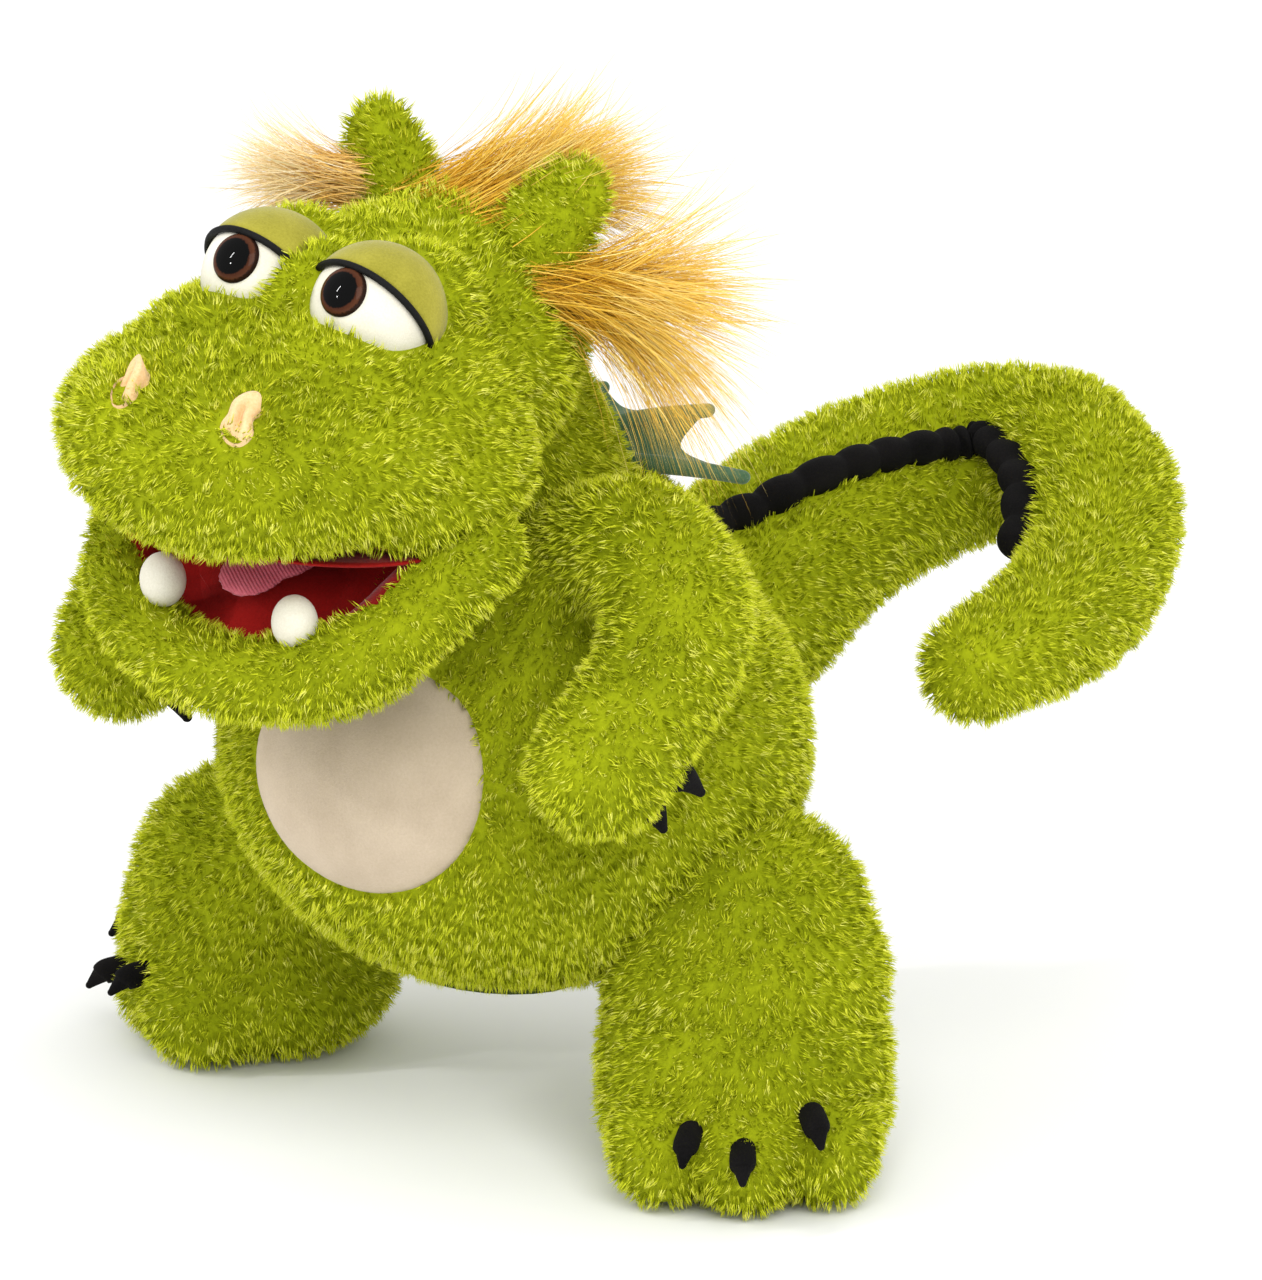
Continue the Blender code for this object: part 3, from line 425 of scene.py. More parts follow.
def blades_mesh(name, roots, directions, curls, lengths, widths, shade, materials, bends=2):
    """Flat tapering fibres as one mesh: a blade's root takes one shade and its tip the lighter one; on the
    plush pile these are painted shade and painted highlight.
    """
    total = len(roots)
    rng = np.random.default_rng(len(name) + total)
    across = unit(np.cross(directions, unit(rng.normal(size=(total, 3)))))
    verts = np.empty((total, 2 * bends + 1, 3))
    for level in range(bends):
        t = level / bends
        middle = roots + directions * (lengths * t)[:, None] + curls * (lengths * t ** 2)[:, None]
        half = across * (widths * (1 - 0.45 * t) / 2)[:, None]
        verts[:, 2 * level] = middle - half
        verts[:, 2 * level + 1] = middle + half
    verts[:, 2 * bends] = roots + directions * lengths[:, None] + curls * lengths[:, None]
    verts[:, :, 2] = np.maximum(verts[:, :, 2], FLOOR_GAP)
    base = (np.arange(total) * (2 * bends + 1))[:, None]
    quads = [np.concatenate([base + 2 * k, base + 2 * k + 1, base + 2 * k + 3, base + 2 * k + 2], axis=1)
             for k in range(bends - 1)]
    tip = np.concatenate([base + 2 * bends - 2, base + 2 * bends - 1, base + 2 * bends], axis=1)
    loops = np.concatenate([*quads, tip], axis=1).ravel().astype(np.int32)
    sizes = np.tile(np.array([4] * (bends - 1) + [3], np.int32), total)
    starts = np.concatenate([[0], np.cumsum(sizes)[:-1]]).astype(np.int32)
    mesh = bpy.data.meshes.new(name)
    mesh.vertices.add(total * (2 * bends + 1))
    mesh.vertices.foreach_set("co", verts.astype(np.float32).ravel())
    mesh.loops.add(len(loops))
    mesh.loops.foreach_set("vertex_index", loops)
    mesh.polygons.add(len(sizes))
    mesh.polygons.foreach_set("loop_start", starts)
    slots = np.empty((total, bends), np.int32)
    for level in range(bends):
        slots[:, level] = shade * 2 + (1 if level >= bends / 2 else 0)
    mesh.polygons.foreach_set("material_index", slots.ravel())
    mesh.update(calc_edges=True)
    smooth_faces(mesh)
    for material in materials:
        mesh.materials.append(material)
    return mesh


def nearest(points, targets):
    tree = kdtree.KDTree(len(targets))
    for index, target in enumerate(targets):
        tree.insert(target, index)
    tree.balance()
    return np.array([tree.find(point)[1] for point in points])


PILE_GAP = 0.00145
PILE_LENGTH = 0.0076
PILE_WIDTH = 0.00062
TUFT_GAP = 0.0042
TUFT_LEAN = 0.55


def pile(name, mesh, keep, seed, flow=(0, 0, -0.35), length=PILE_LENGTH):
    """Long plush pile on a skin: blades gather in tufts, and each tuft leans its own way."""
    roots, normals = surface_samples(mesh, PILE_GAP, seed)
    wanted = keep(roots, normals)
    roots, normals = roots[wanted], normals[wanted]
    rng = np.random.default_rng(seed + 1)
    hearts, heart_normals = surface_samples(mesh, TUFT_GAP, seed + 2)
    home = nearest(roots, hearts)
    lean = unit(heart_normals + TUFT_LEAN * unit(rng.normal(size=hearts.shape)) + np.array(flow))
    tall = length * rng.uniform(0.72, 1.12, len(hearts))
    tips = hearts[home] + lean[home] * tall[home][:, None]
    own = roots + unit(normals + 0.45 * unit(rng.normal(size=roots.shape))
                       + np.array(flow)) * (tall[home] * rng.uniform(0.7, 1.0, len(roots)))[:, None]
    gather = rng.uniform(0.30, 0.80, len(roots))[:, None]
    ends = own * (1 - gather) + tips * gather
    span = ends - roots
    reach = np.linalg.norm(span, axis=1)
    directions = unit(0.65 * unit(span) + 0.35 * normals)
    curls = unit(span) - directions
    tone = rng.choice(5, size=len(hearts), p=[0.32, 0.22, 0.22, 0.12, 0.12])
    shade = np.where(rng.random(len(roots)) < 0.6, tone[home], rng.integers(0, 5, len(roots)))
    widths = PILE_WIDTH * rng.uniform(0.75, 1.35, len(roots)) * 1.0
    return blades_mesh(name, roots - normals * 0.0006, directions, curls, reach, widths, shade, PLUSH)


def everywhere(points, normals):
    return np.ones(len(points), bool)


def in_frame(points, matrix):
    """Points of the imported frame, seen from a part's own frame."""
    inverse = np.array(matrix.inverted())
    return points @ inverse[:3, :3].T + inverse[:3, 3]


def dress(name, mesh, ride, keep=everywhere, seed=1, nodes=(), lining=None, **look):
    """A plush skin and its pile, both on one body, or left in place in the imported frame when given two
    bodies.

    Where lining is true, the skin is the mouth's red velour.
    """
    skin = link(name, mesh, SHADED_BACKING)
    if lining:
        mesh.materials.append(LINING)
        centres = np.array([face.center for face in mesh.polygons])
        normals = np.array([face.normal for face in mesh.polygons])
        mesh.polygons.foreach_set("material_index", lining(centres, normals).astype(np.int32))
    fur = link(name + "_pile", pile(name + "_pile", mesh, keep, seed, **look))
    for piece in (skin, fur):
        if isinstance(ride, str):
            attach(piece, ride)
        else:
            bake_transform(piece)
    if nodes:
        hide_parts(*nodes)


# ---- torso and neck ----------------------------------------------------------------
BELLY_CENTRE = Vector((0.010, -0.090, 0.182))
BELLY_HALF = (0.059, 0.052)


def off_the_belly(points, normals):
    own = in_frame(points, BODY_FRAME)
    reach = ((own[:, 0] - BELLY_CENTRE.x) / (BELLY_HALF[0] - 0.002)) ** 2 \
        + ((own[:, 2] - BELLY_CENTRE.z) / (BELLY_HALF[1] - 0.002)) ** 2
    below = (own[:, 2] < 0.080) & (np.hypot(own[:, 0] / 0.044, (own[:, 1] - 0.010) / 0.034) < 1)
    return ~((reach < 1) & (own[:, 1] < -0.03)) & ~below


def torso_forms(build):
    ellipsoid(build, (0, 0.026, 0.168), (0.123, 0.122, 0.100))
    ellipsoid(build, (0, 0.022, 0.215), (0.107, 0.101, 0.078))
    ellipsoid(build, (0, 0.020, 0.262), (0.078, 0.070, 0.040))
    for side in SIDES.values():
        ellipsoid(build, (side * 0.062, 0.000, 0.264), (0.036, 0.040, 0.032))


def make_torso():
    build = bmesh.new()
    torso_forms(build)
    mesh = remeshed("torso_plush", build, BODY_FRAME, smoothing=14)
    dress("torso_plush", mesh, "torso", off_the_belly, 11, ("torso_cover", "torso_stuffing"))
    build = bmesh.new()
    stuffed(build, [(0, 0.016, 0.262, 0.058), (0, 0.004, 0.295, 0.056), (0, -0.012, 0.325, 0.050)])
    mesh = remeshed("neck_plush", build, BODY_FRAME, smoothing=4)
    dress("neck_plush", mesh, "neck", everywhere, 21, ("neck_cover",))
    make_belly()


def make_belly():
    """A crowned oval of velour with its edge turned under the pile."""
    build = bmesh.new()
    rings, spokes = 14, 64
    surface = surface_of("torso_plush")
    loops = []
    for ring in range(1, rings + 1):
        share = ring / rings
        loop = []
        for spoke in range(spokes):
            turn = 2 * math.pi * spoke / spokes
            x = BELLY_CENTRE.x + BELLY_HALF[0] * share * math.cos(turn)
            z = BELLY_CENTRE.z + BELLY_HALF[1] * share * math.sin(turn)
            start = Vector((x, -0.30, z)) + SHIFT
            _, place, normal, _ = surface.ray_cast(start, Vector((0, 1, 0)))
            crown = 0.0052 * (1 - share ** 4) + 0.0002 if share < 1 else -0.0012
            loop.append(build.verts.new(place + normal * crown))
        loops.append(loop)
    start = Vector((BELLY_CENTRE.x, -0.30, BELLY_CENTRE.z)) + SHIFT
    _, place, normal, _ = surface.ray_cast(start, Vector((0, 1, 0)))
    heart = build.verts.new(place + normal * 0.0054)
    dome_faces(build, heart, loops)
    bmesh.ops.recalc_face_normals(build, faces=build.faces)
    patch = link("belly_velour", shape("belly_velour", build), BELLY)
    thicken(patch, 0.0012)
    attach(patch, "torso")
    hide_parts("belly_patch")


# ---- head --------------------------------------------------------------------------
EYE_RADIUS = 0.0280
IRIS_RADIUS = 0.0108
EYE_CENTRE = Vector((0.0292, -0.1020, 0.3930))
EYE_LOOK = Vector((0.03, -0.83, 0.557)).normalized()
LID_DIRECTION = Vector((0.02, 0.863, 0.505)).normalized()
LID_EDGE = -0.0010
NOSTRIL = Vector((0.0265, -0.190, 0.361))
NOSTRIL_DRIFT = 0.005                # how far both sit towards the puppet's left
PALATE = 0.3030


def eye_centre(side):
    return Vector((side * EYE_CENTRE.x, EYE_CENTRE.y, EYE_CENTRE.z))


def nostril_heart(side):
    return Vector((side * NOSTRIL.x + NOSTRIL_DRIFT, NOSTRIL.y, NOSTRIL.z))


def off_the_face(points, normals):
    own = in_frame(points, HEAD_FRAME)
    free = np.ones(len(own), bool)
    for side in SIDES.values():
        free &= np.linalg.norm(own - np.array(eye_centre(side)), axis=1) > EYE_RADIUS + 0.0022
        hole = own - np.array(nostril_heart(side))
        free &= (hole[:, 0] / 0.0090) ** 2 + (hole[:, 1] / 0.0130) ** 2 + (hole[:, 2] / 0.0150) ** 2 > 1
    return free & ~under_the_palate(points, normals)


def under_the_palate(points, normals):
    own = in_frame(points, HEAD_FRAME)
    return (own[:, 2] < PALATE + 0.004) & (own[:, 1] < -0.085) & (np.abs(own[:, 0]) < 0.066) \
        & (own[:, 1] > -0.170 + 5.0 * own[:, 0] ** 2)


def head_forms(build):
    ellipsoid(build, (0, -0.137, 0.343), (0.086, 0.079, 0.043))
    ellipsoid(build, (0, -0.172, 0.339), (0.068, 0.043, 0.036))
    ellipsoid(build, (0, -0.092, 0.351), (0.084, 0.070, 0.050))
    ellipsoid(build, (0, -0.040, 0.357), (0.069, 0.064, 0.057))
    ellipsoid(build, (0, -0.016, 0.364), (0.058, 0.050, 0.054))
    ellipsoid(build, (0, -0.103, 0.390), (0.016, 0.031, 0.026))
    for side in SIDES.values():
        ellipsoid(build, (side * 0.058, -0.095, 0.327), (0.030, 0.052, 0.032))
        ellipsoid(build, (side * 0.026, -0.184, 0.352), (0.026, 0.028, 0.024))
        ellipsoid(build, (side * 0.030, -0.080, 0.392), (0.027, 0.026, 0.025))
        ellipsoid(build, (side * 0.026, -0.132, 0.366), (0.040, 0.034, 0.028))


def make_head():
    build = bmesh.new()
    head_forms(build)
    mesh = remeshed("head_plush", build, HEAD_FRAME, voxel=0.003, smoothing=16)
    flatten_palate(mesh)
    nodes = ("head_cover", "head_stuffing")
    dress("head_plush", mesh, "head", off_the_face, 31, nodes, under_the_palate, flow=(0, 0.12, -0.18))
    for side_name, side in SIDES.items():
        build = bmesh.new()
        stuffed(build, [(side * 0.036, -0.014, 0.392, 0.0235), (side * 0.043, -0.010, 0.412, 0.0220),
                        (side * 0.052, -0.006, 0.427, 0.0165)], flat=0.62, side_hint=(1, 0, 0))
        ear = remeshed(f"ear_plush_{side_name}", build, HEAD_FRAME, voxel=0.0025, smoothing=3)
        dress(f"ear_plush_{side_name}", ear, "head", everywhere, 35, (f"ear_{side_name}",),
              flow=(0, 0, 0.25), length=0.0075)


def flatten_palate(mesh):
    """The muzzle's underside is level where the mouth is, with a soft lip round it."""
    to_head = HEAD_FRAME.inverted()
    for vertex in mesh.vertices:
        own = to_head @ vertex.co
        front = -0.166 + 5.2 * own.x ** 2
        if own.y < -0.075 and own.z < PALATE + 0.002 and own.y > front - 0.004:
            share = min(1.0, max(0.0, (own.y - front + 0.004) / 0.010))
            own.z += (PALATE + 0.002 - own.z) * share
            vertex.co = HEAD_FRAME @ own
    mesh.update()


def make_eyes():
    plastic = eye_material()
    for side_name, side in SIDES.items():
        centre = eye_centre(side)
        build = bmesh.new()
        bmesh.ops.create_icosphere(build, subdivisions=5, radius=EYE_RADIUS)
        bmesh.ops.transform(build, matrix=HEAD_FRAME @ Matrix.Translation(centre), verts=build.verts)
        name = f"eyeball_velour_{side_name}"
        ball = link(name, shape(name, build), WHITE)
        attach(ball, "head")
        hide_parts(f"eyeball_{side_name}")
        make_iris(side_name, centre, plastic)
        make_lid(side_name, centre)


def make_iris(side_name, centre, plastic):
    """The moulded eye: a clear-coated dome that meets the eyeball in a thin rim."""
    build = bmesh.new()
    bmesh.ops.create_uvsphere(build, u_segments=64, v_segments=32, radius=IRIS_RADIUS)
    bmesh.ops.transform(build, matrix=Matrix.Diagonal((1, 1, 0.42, 1)), verts=build.verts)
    low = [vertex for vertex in build.verts if vertex.co.z < -0.0022]
    bmesh.ops.delete(build, geom=low, context='VERTS')
    name = f"eye_plastic_{side_name}"
    eye = link(name, shape(name, build), plastic)
    seat = math.sqrt(EYE_RADIUS ** 2 - IRIS_RADIUS ** 2)
    turn = EYE_LOOK.to_track_quat('Z', 'Y').to_matrix().to_4x4()
    eye.matrix_world = HEAD_FRAME @ Matrix.Translation(centre + EYE_LOOK * (seat + 0.0004)) @ turn
    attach(eye, "head")
    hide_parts(f"eye_{side_name}")


def make_lid(side_name, centre):
    """A half dome of olive velour with a folded edge, and the black cord sewn along it."""
    turn = LID_DIRECTION.to_track_quat('Z', 'Y').to_matrix().to_4x4()
    radius = EYE_RADIUS + 0.0022
    rings, spokes = 18, 64
    build = bmesh.new()
    start = math.asin(LID_EDGE / radius)
    loops = []
    for ring in range(rings):
        tilt = start + (math.radians(88) - start) * ring / (rings - 1)
        loops.append([build.verts.new((radius * math.cos(tilt) * math.cos(t), radius * math.cos(tilt)
                                       * math.sin(t), radius * math.sin(tilt)))
                      for t in (2 * math.pi * k / spokes for k in range(spokes))])
    ring_faces(build, loops)
    build.faces.new(loops[-1])
    placed = HEAD_FRAME @ Matrix.Translation(centre) @ turn
    bmesh.ops.transform(build, matrix=placed, verts=build.verts)
    name = f"eyelid_velour_{side_name}"
    lid = link(name, shape(name, build), LID)
    thicken(lid, 0.0014)
    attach(lid, "head")
    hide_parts(f"eyelid_{side_name}")
    path = bpy.data.curves.new(f"lid_cord_{side_name}", 'CURVE')
    path.dimensions = '3D'
    path.bevel_depth = 0.0015
    path.bevel_resolution = 4
    spline = path.splines.new('NURBS')
    spline.points.add(47)
    spline.use_cyclic_u = True
    reach = radius * math.cos(start) - 0.0002
    for k, point in enumerate(spline.points):
        t = 2 * math.pi * k / 48
        own = Vector((reach * math.cos(t), reach * math.sin(t), LID_EDGE - 0.0008))
        point.co = (*(placed @ own), 1)
    cord = link(f"lid_cord_{side_name}", path)
    path.materials.append(PIPING)
    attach(cord, "head")
    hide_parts(f"lid_piping_{side_name}")


def make_nostrils():
    """An oval of peach velour, pinched shut at its middle by a stitch."""
    surface = surface_of("head_plush")
    for side_name, side in SIDES.items():
        heart = HEAD_FRAME @ nostril_heart(side)
        _, place, _, _ = surface.closest_point_on_mesh(heart)
        normal = Vector((side * 0.42, -0.74, 0.52)).normalized()
        upward = Vector((-side * 0.10, 0.45, 0.90))
        upward = (upward - normal * upward.dot(normal)).normalized()
        sideways = upward.cross(normal)
        turn = Matrix((sideways, upward, normal)).transposed().to_4x4()
        frame_here = Matrix.Translation(place) @ turn
        build = bmesh.new()
        rings, spokes = 12, 48
        loops = []
        for ring in range(1, rings + 1):
            share = ring / rings
            loop = []
            for spoke in range(spokes):
                t = 2 * math.pi * spoke / spokes
                across = math.cos(t) * share * 0.0084
                down = math.sin(t) * share * 0.0138
                waist = 1 - 0.30 * math.exp(-(down / 0.0045) ** 2)
                pinch = 0.0042 * math.exp(-(across / 0.0020) ** 2 - (down / 0.0065) ** 2)
                rise = 0.0046 * (1 - share ** 3) + 0.0006
                lean = side * 0.0050 * max(0.0, down / 0.0138) ** 1.5
                loop.append(build.verts.new((across * waist + lean, down, rise - pinch)))
            loops.append(loop)
        middle = build.verts.new((0, 0, 0.0046 + 0.0006 - 0.0042))
        dome_faces(build, middle, loops)
        bmesh.ops.transform(build, matrix=frame_here, verts=build.verts)
        for vertex in loops[-1]:
            _, on_skin, out, _ = surface.closest_point_on_mesh(vertex.co)
            vertex.co = on_skin - out * 0.0006
        for vertex in loops[-2]:
            _, on_skin, out, _ = surface.closest_point_on_mesh(vertex.co)
            vertex.co = on_skin + out * 0.0014
        name = f"nostril_velour_{side_name}"
        patch = link(name, shape(name, build), PEACH)
        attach(patch, "head")
        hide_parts(f"nostril_{side_name}")


# ---- jaw and mouth -----------------------------------------------------------------
JAW_ROLL = [(0.077, -0.088, 0.300, 0.0180), (0.076, -0.118, 0.284, 0.0185), (0.063, -0.145, 0.263, 0.0170),
            (0.033, -0.161, 0.249, 0.0160), (0.0, -0.165, 0.245, 0.0155)]
CHEEK_START = Vector((0, -0.070, 0.300))
CHEEK_END = Vector((0, -0.104, 0.286))


def jaw_roll_rows():
    mirrored = [(-x, y, z, r) for x, y, z, r in JAW_ROLL[:-1]]
    return mirrored + list(reversed(JAW_ROLL))


def out_of_the_mouth(points, normals):
    """The plush stops at the lip's inner edge, where the red lining is sewn on."""
    return ~in_the_mouth(points, normals)


def in_the_mouth(points, normals):
    own = in_frame(points, JAW_FRAME)
    inner = (own[:, 2] > -0.004) & (own[:, 1] > -0.0815 + 5.0 * own[:, 0] ** 2) \
        & (np.abs(own[:, 0]) < 0.072)
    facing = in_frame(points + normals, JAW_FRAME)[:, 2] - own[:, 2]
    return inner & (facing > -0.2) & (own[:, 1] < 0.0)


def make_jaw():
    build = bmesh.new()
    stuffed(build, jaw_roll_rows(), steps=4, side_hint=(0, 0, 1))
    ellipsoid(build, (0, -0.112, 0.256), (0.070, 0.050, 0.024), JAW_TURN)
    mesh = remeshed("jaw_plush", build, HEAD_FRAME, voxel=0.003, smoothing=8)
    nodes = ("jaw_cover", "jaw_stuffing", "lower_lip")
    hinge = ("head", "jaw", HEAD_FRAME @ CHEEK_START, HEAD_FRAME @ CHEEK_END)
    dress("jaw_plush", mesh, hinge, out_of_the_mouth, 41, nodes, in_the_mouth, flow=(0, 0, -0.25))


def lip_edge(across):
    """The lower lip's inner edge, from corner to corner as across goes from -1 to 1."""
    rows = smooth_path(jaw_roll_rows(), 8)
    place = rows[min(int(round((across + 1) / 2 * (len(rows) - 1))), len(rows) - 1)]
    inward = Vector((-place[0] * 0.16, 0.013, 0.010))
    return Vector(place[:3]) + inward


def make_linings():
    """The red pouch: a lower lining from the fold to the lip and a level upper one."""
    for name, lower in (("lower_lining", True), ("upper_lining", False)):
        build = bmesh.new()
        rows = []
        deep, wide = 16, 40
        for v in range(deep + 1):
            row = []
            for u in range(wide + 1):
                across = 2 * u / wide - 1
                back = Vector((across * 0.060, MOUTH_HINGE.y + 0.004, 0.3005))
                if lower:
                    front = lip_edge(across)
                    place = back.lerp(front, v / deep)
                    place.z -= 0.006 * math.sin(math.pi * v / deep) * (1 - across ** 2)
                else:
                    reach = math.sqrt(max(0.0, 1 - (across * 0.98) ** 2))
                    front = Vector((across * 0.078, -0.104 - 0.068 * reach, PALATE - 0.0015))
                    place = back.lerp(front, v / deep)
                row.append(build.verts.new(place))
            rows.append(row)
        grid_faces(build, rows)
        bmesh.ops.transform(build, matrix=HEAD_FRAME, verts=build.verts)
        bmesh.ops.recalc_face_normals(build, faces=build.faces)
        mesh = shape(name, build)
        cloth = link(name, mesh, LINING)
        thicken(cloth, 0.0012, -1 if lower else 1)
        if lower:
            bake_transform(cloth)
            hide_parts("jaw_lining")
        else:
            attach(cloth, "head")
            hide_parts("palate_lining")


def make_tongue():
    build = bmesh.new()
    stuffed(build, [(0, -0.012, 0.0070, 0.0190), (0, -0.034, 0.0120, 0.0250), (0, -0.050, 0.0150, 0.0215),
                    (0, -0.056, 0.0155, 0.0160)], flat=0.17, side_hint=(1, 0, 0), count=32)
    mesh = remeshed("tongue_velour", build, JAW_FRAME, voxel=0.0015, smoothing=3)
    tongue = link("tongue_velour", mesh, tongue_material())
    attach(tongue, "jaw")
    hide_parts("tongue")
    for side_name, side in SIDES.items():
        build = bmesh.new()
        ellipsoid(build, (0.004 + side * 0.036, -0.159, 0.275), (0.0102, 0.0092, 0.0118))
        mesh = remeshed(f"tooth_plush_{side_name}", build, HEAD_FRAME, voxel=0.0012, smoothing=2)
        tooth = link(f"tooth_plush_{side_name}", mesh, WHITE)
        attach(tooth, "jaw")
        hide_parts(f"tooth_{side_name}")


# ---- limbs -------------------------------------------------------------------------
ARMS = {
    1.0: [(0.070, -0.008, 0.272, 0.027), (0.108, -0.018, 0.282, 0.0285), (0.137, -0.032, 0.261, 0.0290),
          (0.141, -0.060, 0.233, 0.0265), (0.137, -0.082, 0.212, 0.0280)],
    -1.0: [(-0.070, -0.008, 0.272, 0.027), (-0.105, -0.016, 0.280, 0.0285), (-0.130, -0.028, 0.256, 0.0290),
           (-0.134, -0.054, 0.227, 0.0265), (-0.129, -0.075, 0.206, 0.0280)],
}
HAND_CLAWS = {                       # place from the hand's middle, direction
    "upper_left": ((0.014, 0.029, -0.007), (0.35, 0.85, -0.40)),
    "lower_left": ((0.002, 0.026, -0.021), (0.15, 0.75, -0.65)),
    "upper_right": ((0.020, 0.003, 0.002), (0.80, 0.00, -0.45)),
    "lower_right": ((0.015, 0.008, -0.014), (0.65, 0.30, -0.65)),
}
FOOT_TURN = {1.0: math.radians(40.0), -1.0: math.radians(46.0)}
FOOT_CENTRE = {1.0: Vector((0.117, 0.036, 0.0)), -1.0: Vector((-0.139, 0.046, 0.0))}
FOOT_CLAWS = {                       # forward, outward, up
    "inner": (0.070, -0.024, 0.037),
    "middle": (0.078, -0.001, 0.032),
    "outer": (0.067, 0.029, 0.044),
}


def claw_mesh(name, matrix, length=0.019, base=0.0062):
    """A short stuffed claw that curls down to a blunt point."""
    build = bmesh.new()
    stuffed(build, [(0, 0, -0.006, base), (0, 0, 0.004, base), (0, -0.001, length * 0.55, base * 0.72),
                    (0, -0.004, length, base * 0.30)], count=24, flat=0.9)
    bmesh.ops.transform(build, matrix=matrix, verts=build.verts)
    return shape(name, build)


def make_claw(node, place, direction, body, length=0.019, base=0.0062):
    turn = Vector(direction).to_track_quat('Z', 'Y').to_matrix().to_4x4()
    matrix = BODY_FRAME @ Matrix.Translation(place) @ turn
    claw = link(node + "_velour", claw_mesh(node, matrix, length, base), BLACK)
    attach(claw, body)
    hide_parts(node)


def make_arms():
    for side_name, side in SIDES.items():
        body = f"{side_name}_arm"
        build = bmesh.new()
        stuffed(build, ARMS[side])
        mesh = remeshed(f"arm_plush_{side_name}", build, BODY_FRAME, smoothing=5)
        nodes = (f"arm_cover_{side_name}", f"arm_stuffing_{side_name}")
        dress(f"arm_plush_{side_name}", mesh, body, everywhere, 51, nodes)
        hand = Vector(ARMS[side][-1][:3])
        for claw_name in ("upper", "lower"):
            place, direction = HAND_CLAWS[f"{claw_name}_{side_name}"]
            make_claw(f"hand_claw_{claw_name}_{side_name}", hand + Vector(place), direction, body,
                      0.017, 0.0076)


def foot_axes(side):
    turn = side * FOOT_TURN[side]
    forward = Vector((math.sin(turn), -math.cos(turn), 0))
    return forward, Vector((math.cos(turn), math.sin(turn), 0)) * side


LEG_FORMS = {                        # forward, inward, up, then half axes across, along and up
    1.0: [(0.004, 0.000, 0.032, 0.060, 0.064, 0.036), (0.000, 0.000, 0.052, 0.060, 0.061, 0.048),
          (-0.008, 0.000, 0.084, 0.059, 0.056, 0.050), (-0.012, 0.004, 0.112, 0.054, 0.050, 0.042)],
    -1.0: [(0.016, -0.002, 0.032, 0.058, 0.058, 0.036), (0.016, -0.004, 0.052, 0.060, 0.057, 0.046),
           (0.014, 0.000, 0.076, 0.060, 0.053, 0.044), (-0.004, 0.018, 0.094, 0.054, 0.048, 0.038)],
}


def leg_forms(build, side):
    forward, outward = foot_axes(side)
    turn = Matrix.Rotation(side * FOOT_TURN[side], 4, 'Z')
    centre = FOOT_CENTRE[side]
    for ahead, inward, up, *half in LEG_FORMS[side]:
        ellipsoid(build, centre + forward * ahead - outward * inward + Vector((0, 0, up)), half, turn)
    for across in (-0.034, 0.0, 0.034):
        toe = centre + forward * (0.050 - abs(across) * 0.28) + outward * across + Vector((0, 0, 0.025))
        ellipsoid(build, toe, (0.021, 0.026, 0.024), turn)


def make_legs():
    for side_name, side in SIDES.items():
        body = f"{side_name}_leg"
        build = bmesh.new()
        leg_forms(build, side)
        mesh = remeshed(f"leg_plush_{side_name}", build, BODY_FRAME, smoothing=7)
        for vertex in mesh.vertices:
            vertex.co.z = max(vertex.co.z, 0.0008)
        mesh.update()
        nodes = (f"leg_cover_{side_name}", f"leg_stuffing_{side_name}")
        dress(f"leg_plush_{side_name}", mesh, body, above_the_floor, 61, nodes)
        forward, outward = foot_axes(side)
        for claw_name, (reach, across, up) in FOOT_CLAWS.items():
            place = FOOT_CENTRE[side] + Vector((0, 0, up)) + forward * reach + outward * across
            direction = forward + outward * across * 8 + Vector((0, 0, -0.25))
            make_claw(f"foot_claw_{claw_name}_{side_name}", place, direction, body, 0.012, 0.0058)


def above_the_floor(points, normals):
    return points[:, 2] > 0.0045


# ---- tail --------------------------------------------------------------------------
TAIL = [(0.0, 0.125, 0.176, 0.047), (0.0, 0.168, 0.192, 0.045), (0.0, 0.205, 0.208, 0.042),
        (0.001, 0.245, 0.218, 0.039), (0.010, 0.286, 0.225, 0.036), (0.030, 0.310, 0.232, 0.0345),
        (0.062, 0.312, 0.236, 0.0335), (0.104, 0.288, 0.230, 0.0315), (0.138, 0.240, 0.216, 0.0290),
        (0.158, 0.185, 0.211, 0.0260), (0.164, 0.130, 0.208, 0.0215)]
BEND = Vector((0.010, 0.286, 0.225))
CURL = Vector((0.104, 0.288, 0.230))
CREST_PUFFS = 17
CREST_SPAN = (0.06, 0.80)


def tail_hinge(parent, child, point, direction, reach=0.026):
    step = Vector(direction).normalized() * reach
    return (parent, child, BODY_FRAME @ (point - step), BODY_FRAME @ (point + step))


def make_tail():
    lengths = {"near": (TAIL[:7], tail_hinge("tail_base", "tail_middle", BEND, (0.4, 0.9, 0)),
                        ("tail_base", "tail_middle")),
               "far": (TAIL[6:], tail_hinge("tail_middle", "tail_tip", CURL, (0.7, -0.7, 0)),
                       ("tail_tip",))}
    for name, (rows, hinge, nodes) in lengths.items():
        build = bmesh.new()
        stuffed(build, rows, steps=5, count=28, dome_steps=5)
        mesh = remeshed(f"tail_plush_{name}", build, BODY_FRAME, smoothing=5)
        dress(f"tail_plush_{name}", mesh, hinge, everywhere, 71, nodes, flow=(0, 0, -0.15))
    make_crest()


